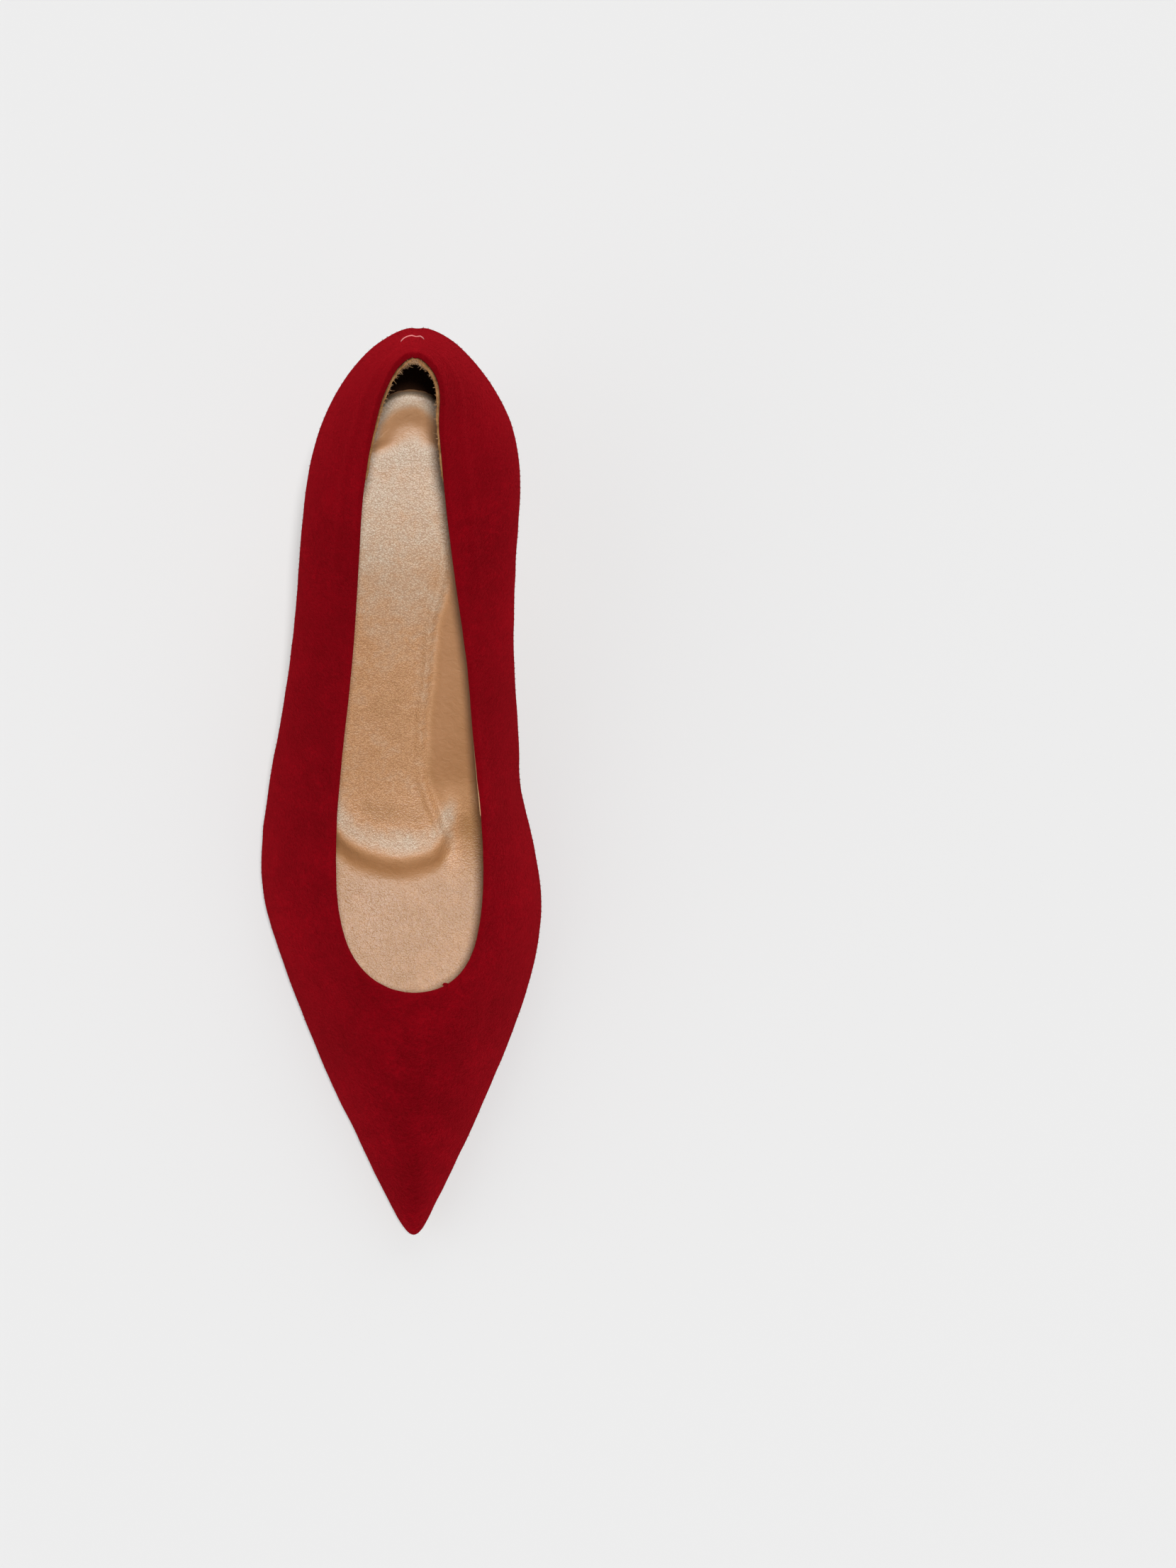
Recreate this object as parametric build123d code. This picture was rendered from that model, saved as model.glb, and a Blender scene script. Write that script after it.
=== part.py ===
from build123d import *
import os
import numpy as np

# High heel pump, right foot, pointed toe, covered slender heel.
# Millimetres. +Z up, toe towards -Y, heel towards +Y, outer (little-toe) side towards -X.
# Origin at the middle of the bounding box in plan, on the ground.
#
# Every leather, board and lining follows one shape: the outside of the upper on its last.
# Layers are counted inwards from that outside surface.

# ---------------------------------------------------------------- driving dimensions
UPPER_T = 1.04            # suede
MID_IN, MID_OUT = 1.22, 1.74     # toe puff, interlinings, heel counter, topline tape
LIN_IN, LIN_OUT = 1.95, 2.70     # linings
ROOM = 2.88               # start of the room inside the linings
MARGIN_T = 1.1            # lasting margin turned in under the insole
INSOLE_Z0, INSOLE_Z1 = 4.7, 6.1
BACK_Z0, BACK_Z1 = 6.15, 7.35
SOCK_T = 0.8
SHANK_W, SHANK_Z0, SHANK_Z1 = 11.0, 2.75, 4.35
BREAST_Y = 77.0           # front face of the heel at the seat
HEEL_COVER_T = 0.8
TOPPIECE_H = 6.4
TUBE_D, TUBE_ID = 4.8, 3.1
TAPE_W = 4.6              # tape inside the folded topline


# ---------------------------------------------------------------- shape of the last
# Widest outline of the upper seen from above, and the outline of its opening (mm).
# Both loops run: middle of the back, outer side, front, inner side.
O_PTS = [(7.41, 128.29), (-1.42, 125.47), (-8.72, 119.61), (-14.41, 112.17), (-18.71, 103.84),
         (-21.78, 94.98), (-23.79, 85.82), (-25.14, 76.53), (-26.22, 67.21), (-27.24, 57.88),
         (-28.39, 48.57), (-29.84, 39.29), (-31.63, 30.08), (-33.64, 20.91), (-35.73, 11.76),
         (-37.77, 2.61), (-39.50, -6.62), (-40.55, -15.94), (-40.50, -25.32), (-39.01, -34.57),
         (-36.40, -43.58), (-33.25, -52.42), (-29.91, -61.19), (-26.46, -69.92), (-22.87, -78.59),
         (-19.04, -87.16), (-14.95, -95.60), (-10.82, -104.04), (-6.78, -112.51), (-2.44, -120.82),
         (3.39, -127.87), (8.81, -120.73), (12.95, -112.45), (16.87, -104.07), (20.73, -95.65),
         (24.50, -87.20), (28.14, -78.68), (31.58, -70.09), (34.75, -61.39), (37.49, -52.55),
         (39.52, -43.52), (40.51, -34.32), (40.16, -25.08), (38.67, -15.94), (36.87, -6.86),
         (34.87, 2.17), (34.46, 11.38), (34.18, 20.63), (33.63, 29.87), (33.27, 39.13),
         (33.27, 48.38), (33.62, 57.63), (34.19, 66.87), (34.83, 76.11), (35.35, 85.35),
         (34.97, 94.59), (32.58, 103.51), (28.31, 111.71), (22.95, 119.25), (16.08, 125.41)]
T_PTS = [(7.97, 117.45), (1.01, 111.58), (-2.67, 102.77), (-5.12, 93.54), (-6.80, 84.13),
         (-7.99, 74.65), (-8.91, 65.13), (-9.75, 55.61), (-10.64, 46.10), (-11.68, 36.59),
         (-12.92, 27.12), (-14.31, 17.66), (-15.66, 8.20), (-16.77, -1.29), (-17.45, -10.83),
         (-17.63, -20.38), (-17.36, -29.93), (-15.68, -39.32), (-11.55, -47.90), (-4.43, -54.13),
         (4.79, -56.31), (13.74, -53.94), (19.99, -47.08), (23.07, -38.26), (24.23, -28.96),
         (24.56, -19.58), (24.30, -10.21), (23.64, -0.85), (22.77, 8.49), (21.94, 17.83),
         (21.24, 27.19), (20.39, 36.53), (19.28, 45.84), (18.03, 55.14), (16.79, 64.44),
         (15.71, 73.76), (14.88, 83.10), (14.27, 92.46), (13.91, 101.83), (13.75, 111.21)]


def spline_fn(t, y, periodic=False):
    """C2 cubic through (t, y); y may have several columns."""
    t = np.asarray(t, float); y = np.asarray(y, float)
    if y.ndim == 1:
        y = y[:, None]
    n = len(t); h = np.diff(t); d = np.diff(y, axis=0) / h[:, None]
    if periodic:
        m = n - 1; A = np.zeros((m, m)); B = np.zeros((m, y.shape[1]))
        for i in range(m):
            hp = h[i - 1]; hi = h[i]
            A[i, (i - 1) % m] += hp; A[i, i] += 2 * (hp + hi); A[i, (i + 1) % m] += hi
            B[i] = 6 * (d[i] - d[i - 1])
        M = np.linalg.solve(A, B); M = np.vstack([M, M[:1]])
    else:
        A = np.eye(n); B = np.zeros((n, y.shape[1]))
        for i in range(1, n - 1):
            A[i, i - 1] = h[i - 1]; A[i, i] = 2 * (h[i - 1] + h[i]); A[i, i + 1] = h[i]
            B[i] = 6 * (d[i] - d[i - 1])
        M = np.linalg.solve(A, B)

    def f(x):
        x = np.asarray(x, float)
        i = np.clip(np.searchsorted(t, x, side="right") - 1, 0, n - 2)
        a = (x - t[i])[..., None]; b = (t[i + 1] - x)[..., None]; hh = h[i][..., None]
        return (M[i] * b ** 3 + M[i + 1] * a ** 3) / (6 * hh) + \
               (y[i] / hh - M[i] * hh / 6) * b + (y[i + 1] / hh - M[i + 1] * hh / 6) * a
    return f


def mono(xs, ys):
    """Monotone smooth interpolation through a table."""
    xs = np.asarray(xs, float); ys = np.asarray(ys, float)
    h = np.diff(xs); d = np.diff(ys) / h; m = np.zeros(len(xs))
    for i in range(1, len(xs) - 1):
        if d[i - 1] * d[i] > 0:
            w1 = 2 * h[i] + h[i - 1]; w2 = h[i] + 2 * h[i - 1]
            m[i] = (w1 + w2) / (w1 / d[i - 1] + w2 / d[i])
    m[0] = d[0]; m[-1] = d[-1]

    def f(x):
        x = np.clip(np.asarray(x, float), xs[0], xs[-1])
        i = np.clip(np.searchsorted(xs, x, side="right") - 1, 0, len(xs) - 2)
        t = (x - xs[i]) / h[i]
        return (ys[i] * (1 + 2 * t) * (1 - t) ** 2 + h[i] * m[i] * t * (1 - t) ** 2 +
                ys[i + 1] * t * t * (3 - 2 * t) + h[i] * m[i + 1] * t * t * (t - 1))
    return f


def closed_curve(pts):
    p = np.vstack([pts, pts[:1]]); p = np.asarray(p, float)
    s = np.concatenate([[0], np.cumsum(np.hypot(*np.diff(p, axis=0).T))])
    f = spline_fn(s, p, True); u = np.linspace(0, s[-1], 24001); q = f(u)
    a = np.concatenate([[0], np.cumsum(np.hypot(*np.diff(q, axis=0).T))])
    i_tip = int(np.argmin(q[:, 1]))
    return q, a, i_tip


# side line of the outsole's underside: flat tread, arch, heel seat, toe spring
TREAD0, TREAD1 = -66.0, -36.0
_yg = np.linspace(-145, 145, 5801)


def _s5(t):
    t = np.clip(t, 0, 1)
    return t ** 3 * (10 - 15 * t + 6 * t * t)


_sl = 0.67 * _s5((_yg - TREAD1) / 52) - 0.42 * _s5((_yg - 46) / 50)
_zz = np.concatenate([[0], np.cumsum((_sl[1:] + _sl[:-1]) / 2 * np.diff(_yg))])
_zz = _zz - np.interp(TREAD1, _yg, _zz)
_zz = _zz + np.where(_yg < TREAD0, 5.0 * ((TREAD0 - _yg) / 62.5) ** 2, 0)


def z_bottom(y):
    return np.interp(y, _yg, _zz)


OUTSOLE_T = 2.5
TOP_OUT = 1.25            # the outside of the suede stands this far out from the opening's edge
FEATHER = OUTSOLE_T + 0.1
h_bulge = mono([-140, -128, -100, -60, -20, 0, 40, 80, 110, 128, 140],
               [6.5, 6.5, 8.5, 10.5, 12, 14, 18, 19.5, 20, 20, 20])
z_top = mono([-60, -57, -40, -20, 0, 20, 40, 60, 80, 100, 110, 117.5, 130],
             [39.5, 39.5, 40.8, 44.0, 50.5, 60.5, 72.5, 85.5, 98, 111.5, 119.5, 126, 132])
inset_lat = mono([-140, -128, -110, -70, -30, 0, 30, 60, 90, 115, 130],
                 [1.0, 1.0, 2.0, 2.8, 4, 5, 7, 7, 5.2, 4.6, 4.5])
inset_med = mono([-140, -128, -110, -70, -30, 0, 30, 60, 90, 115, 130],
                 [1.0, 1.0, 2.0, 2.8, 4, 6.5, 10, 9, 5.6, 4.6, 4.5])
p_curve = mono([-140, -128, -80, -40, 0, 40, 80, 128], [1.45, 1.45, 1.6, 1.9, 2.1, 2.1, 1.9, 1.7])
# middle line of the shoe in plan
mid_x = mono([-130, -120, -100, -60, -20, 20, 60, 100, 130], [3.2, 3.4, 4.4, 2.4, 0.0, 0.2, 3.3, 6.6, 7.6])

_OQ, _OA, _OI = closed_curve(O_PTS)
_TQ, _TA, _TI = closed_curve(T_PTS)


def _frac_at(q, a, i_tip, y, lateral):
    """arc fraction (0 at back, 1 at front) where a half loop passes height y"""
    if lateral:
        Y = q[:i_tip + 1, 1]; s = a[:i_tip + 1] / a[i_tip]
        return np.interp(-y, -Y, s)
    Y = q[i_tip:, 1][::-1]; s = (a[-1] - a[i_tip:][::-1]) / (a[-1] - a[i_tip])
    return np.interp(-y, -Y, s)


_PAIRS = [(118, 113.5), (108, 105), (80, 80), (60, 60), (20, 20), (0, 0), (-20, -17), (-50, -33), (-80, -44), (-108, -52)]
_map = {}
for _side in (True, False):
    _a = [0.0] + [float(_frac_at(_OQ, _OA, _OI, p, _side)) for p, _ in _PAIRS] + [1.0]
    _b = [0.0] + [float(_frac_at(_TQ, _TA, _TI, p, _side)) for _, p in _PAIRS] + [1.0]
    _map[_side] = mono(_a, _b)


def columns(smin=0.5, grow=0.055, smax=2.2):
    """Signed arc stations along the outline: half-loop fractions for both sides, dense at the toe point."""
    L1 = _OA[_OI]; L2 = _OA[-1] - _OA[_OI]

    def side(L):
        s = [0.0]
        while s[-1] < L:
            s.append(s[-1] + min(smax, smin + grow * s[-1]))
        s = np.array(s); s *= L / s[-1]
        return 1 - s / L          # 1 at the front, 0 at the back
    a = side(L1)[::-1]            # back -> front
    b = side(L2)                  # front -> back
    return a, b


def half_points(q, a, i_tip, f, lateral):
    if lateral:
        s = f * a[i_tip]
    else:
        s = a[-1] - f * (a[-1] - a[i_tip])
    return np.stack([np.interp(s, a, q[:, 0]), np.interp(s, a, q[:, 1])], -1)


def smooth_ring(V, s, total, sig):
    """gaussian smoothing round a closed ring with stations s"""
    out = np.zeros_like(V)
    w0 = np.gradient(np.concatenate([[s[-1] - total], s, [total + s[0]]]))[1:-1]
    for i in range(len(s)):
        d = np.abs(s - s[i]); d = np.minimum(d, total - d)
        w = w0 * np.exp(-0.5 * (d / sig) ** 2)
        out[i] = (V * w.reshape((-1,) + (1,) * (V.ndim - 1))).sum(0) / w.sum()
    return out


def build_grid(nv=61, smin=0.5, grow=0.055, smax=2.2):
    """P[i, j]: outside of the upper. i runs round the shoe from the back over the outer side,
    j from the feather edge (0) to the topline. Also S, the arc station of each column."""
    fa, fb = columns(smin, grow, smax)
    nb = len(fb)
    O = np.vstack([half_points(_OQ, _OA, _OI, fa, True), half_points(_OQ, _OA, _OI, fb, False)[1:-1]])
    T = np.vstack([half_points(_TQ, _TA, _TI, _map[True](fa), True),
                   half_points(_TQ, _TA, _TI, _map[False](fb), False)[1:-1]])
    i_tip = len(fa) - 1; n = len(O)
    tt = np.roll(T, -1, 0) - np.roll(T, 1, 0); tt /= np.hypot(*tt.T)[:, None]
    T = T - TOP_OUT * np.stack([-tt[:, 1], tt[:, 0]], -1)
    med = np.zeros(n); med[i_tip + 1:] = 1.0
    seg = np.hypot(*(np.roll(O, -1, 0) - O).T); S = np.concatenate([[0], np.cumsum(seg)])
    total = S[-1]; S = S[:-1]
    # plan normals pointing in
    tx = np.roll(O, -1, 0) - np.roll(O, 1, 0); tx /= np.hypot(*tx.T)[:, None]
    nin = np.stack([-tx[:, 1], tx[:, 0]], -1)          # loop runs anticlockwise seen from above
    ys = O[:, 1]
    side_w = np.clip(0.5 + (O[:, 0] - mid_x(ys)) / 16, 0, 1)
    ins = inset_lat(ys) * (1 - side_w) + inset_med(ys) * side_w
    F = O + nin * ins[:, None]
    zF = z_bottom(F[:, 1]) + FEATHER
    zB = z_bottom(ys) + FEATHER + h_bulge(ys)
    side_t = np.clip(0.5 + (T[:, 0] - mid_x(T[:, 1])) / 20, 0, 1)
    zT = z_top(T[:, 1]) + 1.6 * side_t * np.clip((100 - T[:, 1]) / 40, 0, 1) * np.clip((T[:, 1] + 45) / 30, 0, 1)
    p = p_curve(ys)
    k = 90
    h1 = np.linspace(0, 1, 31); h2 = np.linspace(0, 1, k)[1:] ** 1.35
    A = np.zeros((n, 31 + k - 1, 3))
    A[:, :31, :2] = O[:, None] + (nin * ins[:, None])[:, None] * ((1 - h1) ** 2)[None, :, None]
    A[:, :31, 2] = zF[:, None] + (zB - zF)[:, None] * h1
    w = h2[None, :] ** p[:, None]
    A[:, 31:, :2] = O[:, None] + w[..., None] * (T - O)[:, None]
    A[:, 31:, 2] = zB[:, None] + (zT - zB)[:, None] * h2
    d = np.sqrt((np.diff(A, axis=1) ** 2).sum(-1)); a = np.concatenate([np.zeros((n, 1)), np.cumsum(d, 1)], 1)
    v = np.linspace(0, 1, nv)
    P = np.zeros((n, nv, 3))
    for i in range(n):
        for c in range(3):
            P[i, :, c] = np.interp(v * a[i, -1], a[i], A[i, :, c])
    # even out the columns' arc lengths round the shoe
    return dict(P=P, S=S, total=total, i_tip=i_tip, O=O, F=F, T=T, zF=zF, zB=zB, zT=zT, nin=nin, A=A, LEN=a[:, -1])


def grid_normals(P, S, total, sig=1.2):
    du = np.roll(P, -1, 0) - np.roll(P, 1, 0)
    dv = np.gradient(P, axis=1)
    N = np.cross(du, dv)
    N /= np.linalg.norm(N, axis=-1, keepdims=True)
    N = smooth_ring(N, S, total, sig)
    N /= np.linalg.norm(N, axis=-1, keepdims=True)
    return N


def offset_ring(Q, S, total, i_tip, win):
    """Replace the run within +-win of the toe point by a rounded cap between its ends."""
    if win <= 0:
        return Q
    n = len(S); d = S - S[i_tip]
    ids = np.where(np.abs(d) <= win)[0]
    a, b = ids[0] - 1, ids[-1] + 1
    L = d[b] - d[a]
    out = Q.copy()
    t = (d[a:b + 1] - d[a]) / L
    t = t.reshape((-1,) + (1,) * (Q.ndim - 1))
    ta = Q[a] - Q[a - 1]; tb = Q[b + 1] - Q[b]
    ta = ta / (np.linalg.norm(ta, axis=-1, keepdims=True) + 1e-9)
    tb = tb / (np.linalg.norm(tb, axis=-1, keepdims=True) + 1e-9)
    ch = np.linalg.norm(Q[b] - Q[a], axis=-1, keepdims=True) * 1.45
    h00 = 2 * t ** 3 - 3 * t ** 2 + 1; h10 = t ** 3 - 2 * t ** 2 + t
    h01 = -2 * t ** 3 + 3 * t ** 2; h11 = t ** 3 - t ** 2
    out[a:b + 1] = h00 * Q[a] + h10 * ta * ch + h01 * Q[b] + h11 * tb * ch
    return out


def layer(G, N, d, win=None):
    """Surface d inside the outside of the upper."""
    Q = G["P"] - N * d
    if win is None:
        win = 0 if d < 1.3 else 3.3 * d
    return offset_ring(Q, G["S"], G["total"], G["i_tip"], win)


def at_height(Q, dz):
    """ring where a layer stands dz above the sole's underside line"""
    n = len(Q); out = np.zeros((n, 3))
    for i in range(n):
        hgt = Q[i, :, 2] - z_bottom(Q[i, :, 1])
        k = int(np.argmax(hgt >= dz)); k = max(k, 1)
        t = (dz - hgt[k - 1]) / (hgt[k] - hgt[k - 1])
        t = np.clip(t, 0, 1)
        out[i] = Q[i, k - 1] * (1 - t) + Q[i, k] * t
    return out

# ---------------------------------------------------------------- grid and helpers
G = build_grid(nv=61)
N = grid_normals(G["P"], G["S"], G["total"])
NC = len(G["P"])
TIP = G["i_tip"]
ZB = z_bottom


def pick_columns(step_tip=1.4, grow=0.12, step_max=9.5):
    """Column numbers for lofting: close together at the toe point, wider along the sides."""
    S, tot = G["S"], G["total"]
    ids = [TIP]
    for sgn in (1, -1):
        i = TIP
        last = S[TIP]
        while True:
            i += sgn
            if i < 0 or i >= NC:
                break
            d_tip = abs(S[i] - S[TIP])
            if abs(S[i] - last) >= min(step_max, step_tip + grow * d_tip):
                ids.append(i)
                last = S[i]
    ids = sorted(set(ids))
    if ids[0] != 0:
        if S[ids[0]] < 3:
            ids = ids[1:]
        ids = [0] + ids
    if tot - S[ids[-1]] < 4:
        ids = ids[:-1]
    return ids


COLS = pick_columns()
print("sections", len(COLS), "of", NC)


def along(col, f):
    """points of one column at fractions f"""
    v = np.linspace(0, 1, len(col))
    return np.stack([np.interp(f, v, col[:, c]) for c in range(3)], -1)


def frac_at_height(col, dz):
    h = col[:, 2] - ZB(col[:, 1])
    k = max(int(np.argmax(h >= dz)), 1)
    t = np.clip((dz - h[k - 1]) / (h[k] - h[k - 1]), 0, 1)
    return (k - 1 + t) / (len(col) - 1)


def V3(p):
    return Vector(float(p[0]), float(p[1]), float(p[2]))


def spl(pts, par=None):
    """Curve through points; sections of one loft share their parameters, so its surface stays light."""
    par = np.linspace(0, 1, len(pts)) if par is None else par
    return Edge.make_spline([V3(p) for p in pts], parameters=[float(q) for q in par])


def lin(a, b):
    return Edge.make_line(V3(a), V3(b))


def ring_solid(outer, inner, lo, hi, m=10):
    """Closed thin band between two layers, from fraction lo(col, i) to hi(col, i) of each column."""
    f = np.linspace(0, 1, m) ** 0.9
    wires = []
    for i in COLS:
        a, b = lo(outer[i], i), hi(outer[i], i)
        po = along(outer[i], a + (b - a) * f)
        a2, b2 = lo(inner[i], i), hi(inner[i], i)
        pi = along(inner[i], a2 + (b2 - a2) * f)
        wires.append(Wire([spl(po, f), lin(po[-1], pi[-1]), spl(pi[::-1], 1 - f[::-1]), lin(pi[0], po[0])]))
    wires.append(wires[0])
    return Solid.make_loft(wires)


def plan_face(ring, z=0.0):
    """Plane face inside a closed outline"""
    pts = [Vector(float(p[0]), float(p[1]), z) for p in ring[COLS]]
    return Face(Wire([Edge.make_spline(pts, periodic=True)]))


def prism(ring, z0=-20.0, z1=160.0):
    return Solid.extrude(plan_face(ring, z0), Vector(0, 0, z1 - z0))


def box(x0, x1, y0, y1, z0, z1):
    return Pos((x0 + x1) / 2, (y0 + y1) / 2, (z0 + z1) / 2) * Box(x1 - x0, y1 - y0, z1 - z0)


def off(a):
    return lambda y: ZB(y) + a


def band(y0, y1, flo, fhi, x0=-60.0, x1=60.0, n=26, knots=()):
    """Strip between two side lines, extruded across the shoe."""
    def line(f, rev):
        cuts = [y0] + [k for k in knots if y0 < k < y1] + [y1]
        es = []
        for a, b in zip(cuts[:-1], cuts[1:]):
            flat = abs(a - TREAD0) < 1e-6 and abs(b - TREAD1) < 1e-6
            if flat:
                es.append(Edge.make_line(Vector(x0, a, float(f(a))), Vector(x0, b, float(f(b)))))
            else:
                ys = np.linspace(a, b, max(4, int(n * (b - a) / (y1 - y0)) + 2))
                es.append(Edge.make_spline([Vector(x0, float(y), float(f(y))) for y in ys]))
        return es
    lo, hi = line(flo, False), line(fhi, True)
    a = Edge.make_line(Vector(x0, y0, float(flo(y0))), Vector(x0, y0, float(fhi(y0))))
    b = Edge.make_line(Vector(x0, y1, float(flo(y1))), Vector(x0, y1, float(fhi(y1))))
    return Solid.extrude(Face(Wire(lo + [b] + hi + [a])), Vector(x1 - x0, 0, 0))


def cyl(x, y, z0, z1, r):
    return Pos(x, y, (z0 + z1) / 2) * Cylinder(r, z1 - z0)


def solids(s):
    return [q for q in s.solids() if q.volume > 0.5]


parts = {}


def keep(name, s):
    q = solids(s)
    if not q:
        raise RuntimeError(name + " came out empty")
    parts[name] = q[0] if len(q) == 1 else Compound(q)


# ---------------------------------------------------------------- layers
L0 = G["P"]
L_UP = layer(G, N, UPPER_T, win=3.4)
L_M0, L_M1 = layer(G, N, MID_IN, win=3.6), layer(G, N, MID_OUT)
L_L0, L_L1 = layer(G, N, LIN_IN), layer(G, N, LIN_OUT)
L_R = layer(G, N, ROOM)
LEN = G["LEN"]

# ---------------------------------------------------------------- upper with its lasting margin
spine_y = np.clip(G["F"][:, 1] * 0.93, -111, 106)
spine = np.stack([mid_x(spine_y), spine_y], -1)
dirv = spine - G["F"]
dist = np.hypot(*dirv.T)
dirv /= dist[:, None]
mlen = np.minimum(10.0, 0.45 * dist)
M = G["F"] + dirv * mlen[:, None]


def upper_wire(i):
    c0, c1 = L0[i], L_UP[i]
    f = np.linspace(0, 1, 12) ** 0.95
    po = along(c0, f)
    po[0] = (G["F"][i][0], G["F"][i][1], ZB(G["F"][i][1]) + FEATHER)
    a = frac_at_height(c1, FEATHER + MARGIN_T)
    pi = along(c1, a + (1 - a) * f)
    zm = float(ZB(M[i][1])) + FEATHER
    m0 = np.array([M[i][0], M[i][1], zm])
    m1 = np.array([M[i][0], M[i][1], zm + MARGIN_T])
    return Wire([spl(po, f), lin(po[-1], pi[-1]), spl(pi[::-1], 1 - f[::-1]), lin(pi[0], m1), lin(m1, m0), lin(m0, po[0])])


uw = [upper_wire(i) for i in COLS]
upper = Solid.make_loft(uw + [uw[0]])
print("upper", upper.is_valid, round(upper.volume))
keep("upper", upper)

# ---------------------------------------------------------------- layer between suede and lining
mid = ring_solid(L_M0, L_M1, lambda c, i: frac_at_height(c, FEATHER + MARGIN_T + 0.1),
                 lambda c, i: 1 - (TAPE_W + 0.9) / LEN[i])
print("mid", mid.is_valid, round(mid.volume))
keep("toe_puff", mid & box(-70, 70, -140, -88, -5, 140))
keep("vamp_interlining", mid & box(-70, 70, -87.9, 12, -5, 140))
keep("side_stay_outer", mid & box(-70, 3, 12.1, 68, -5, 140))
keep("side_stay_inner", mid & box(3, 70, 12.1, 68, -5, 140))
keep("heel_counter", mid & box(-70, 70, 68.1, 140, -5, 140))
keep("topline_tape", ring_solid(L_M0, L_M1, lambda c, i: 1 - (TAPE_W + 0.6) / LEN[i],
                                lambda c, i: 1 - 0.6 / LEN[i], m=4))

# ---------------------------------------------------------------- linings
lin_ring = ring_solid(L_L0, L_L1, lambda c, i: frac_at_height(c, INSOLE_Z1 + 0.1), lambda c, i: 1 - 0.3 / LEN[i])
print("lining", lin_ring.is_valid, round(lin_ring.volume))
keep("vamp_lining", lin_ring & box(-70, 70, -140, -8, -5, 140))
keep("quarter_lining_outer", lin_ring & box(-70, 3, -7.9, 84, -5, 140))
keep("quarter_lining_inner", lin_ring & box(3, 70, -7.9, 84, -5, 140))
keep("heel_grip", lin_ring & box(-70, 70, 84.1, 140, -5, 140))

# ---------------------------------------------------------------- bottom
feather_ring = G["F"].copy()
sole_ring = np.hstack([feather_ring + G["nin"] * 0.55, np.zeros((NC, 1))])
outsole = prism(sole_ring) & band(-135, BREAST_Y - 0.1, off(0), off(OUTSOLE_T), knots=(TREAD0, TREAD1))
keep("outsole", outsole)

board_ring = at_height(layer(G, N, MID_OUT + 0.1), INSOLE_Z0 + 0.1)
room_ring = at_height(L_R, INSOLE_Z1 + 0.1)
sock_ring = at_height(L_R, 7.6)

# shank, its rivets, heel screw and nails
HX, HY = 7.0, 107.6               # heel axis
SX, SY = 6.8, 100.5                # screw
rivets = [(float(mid_x(2.0)), 2.0), (float(mid_x(58.0)), 58.0)]
nails = [(float(mid_x(y)) + dx, y) for dx, y in ((-8.0, 90.0), (8.0, 90.0), (-7.2, 106.5), (7.2, 106.5), (0.2, 113.6))]

def square_to_sole(x, y, a, b, r):
    """Cylinder square to the boards at (x, y), between heights a and b over the sole line."""
    phi = float(np.arctan((ZB(y + 0.5) - ZB(y - 0.5))))
    c = float(np.cos(phi))
    return Pos(x, y, float(ZB(y))) * Rot(float(np.degrees(phi)), 0, 0) * Pos(0, 0, (a + b) / 2 * c) * Cylinder(r, (b - a) * c)


shank_plan = []
for y in np.linspace(-14, 105.5, 22):
    shank_plan.append((float(mid_x(y)), float(y)))
half = SHANK_W / 2
left = [Vector(x - half, y, -20) for x, y in shank_plan]
right = [Vector(x + half, y, -20) for x, y in shank_plan][::-1]
shank_face = Face(Wire([Edge.make_spline(left), Edge.make_three_point_arc(left[-1], Vector(shank_plan[-1][0], shank_plan[-1][1] + half * 0.8, -20), right[0]),
                        Edge.make_spline(right), Edge.make_three_point_arc(right[-1], Vector(shank_plan[0][0], shank_plan[0][1] - half * 0.8, -20), left[0])]))
shank = Solid.extrude(shank_face, Vector(0, 0, 150)) & band(-24, 122, off(SHANK_Z0), off(SHANK_Z1))
holes = []
for x, y in rivets:
    holes.append(square_to_sole(x, y, -5, 14, 1.6))
screw_hole = cyl(SX, SY, 30, 90, 2.3)
nail_holes = [cyl(x, y, float(ZB(y)) - 12, float(ZB(y)) + 12, 0.9) for x, y in nails]
for h in holes + [screw_hole]:
    shank = shank - h
keep("steel_shank", shank)

insole = prism(board_ring) & band(-135, 135, off(INSOLE_Z0), off(INSOLE_Z1))
back = prism(room_ring) & band(5, 135, off(BACK_Z0), off(BACK_Z1))
for h in holes + [screw_hole] + nail_holes:
    insole = insole - h
    back = back - h
keep("insole_board", insole)
keep("backpart_board", back)

fill_ring = np.hstack([M + dirv * 0.8, np.zeros((NC, 1))])
keep("bottom_filler", prism(fill_ring) & band(-112, -22, off(2.65), off(4.5)))

rv = None
for x, y in rivets:
    top = BACK_Z1 if y > 4 else INSOLE_Z1
    r = square_to_sole(x, y, SHANK_Z0 + 0.05, top + 0.2, 1.5) + square_to_sole(x, y, top + 0.1, top + 0.6, 2.8)
    rv = r if rv is None else rv + r
keep("shank_rivets", rv)

# cushion under the rear three quarters, foam under the toes, sock over both
c_top = mono([-21, -19.2, -17.6, -14.5, -9, -2, 8, 22, 45, 70, 100, 123, 140],
             [8.6, 9.3, 10.2, 11.3, 11.9, 11.8, 11.2, 10.4, 9.9, 9.7, 9.5, 9.9, 10.0])


def cush_top(y):
    return ZB(y) + c_top(y)


cushion = (prism(room_ring) & band(4.2, 135, off(8.3), cush_top)) + \
          (prism(room_ring) & band(-20.0, 4.2, off(INSOLE_Z1 + 0.1), cush_top))
keep("arch_cushion", cushion)
keep("forefoot_foam", prism(room_ring) & band(-125, -20.8, off(INSOLE_Z1 + 0.1), off(7.45)))


def sock_lo(y):
    f = 0.5 + 0.5 * np.tanh((np.asarray(y) + 22.3) / 0.9)
    return ZB(y) + (7.65 * (1 - f) + (c_top(np.maximum(y, -20.0)) + 0.14) * f)


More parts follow.
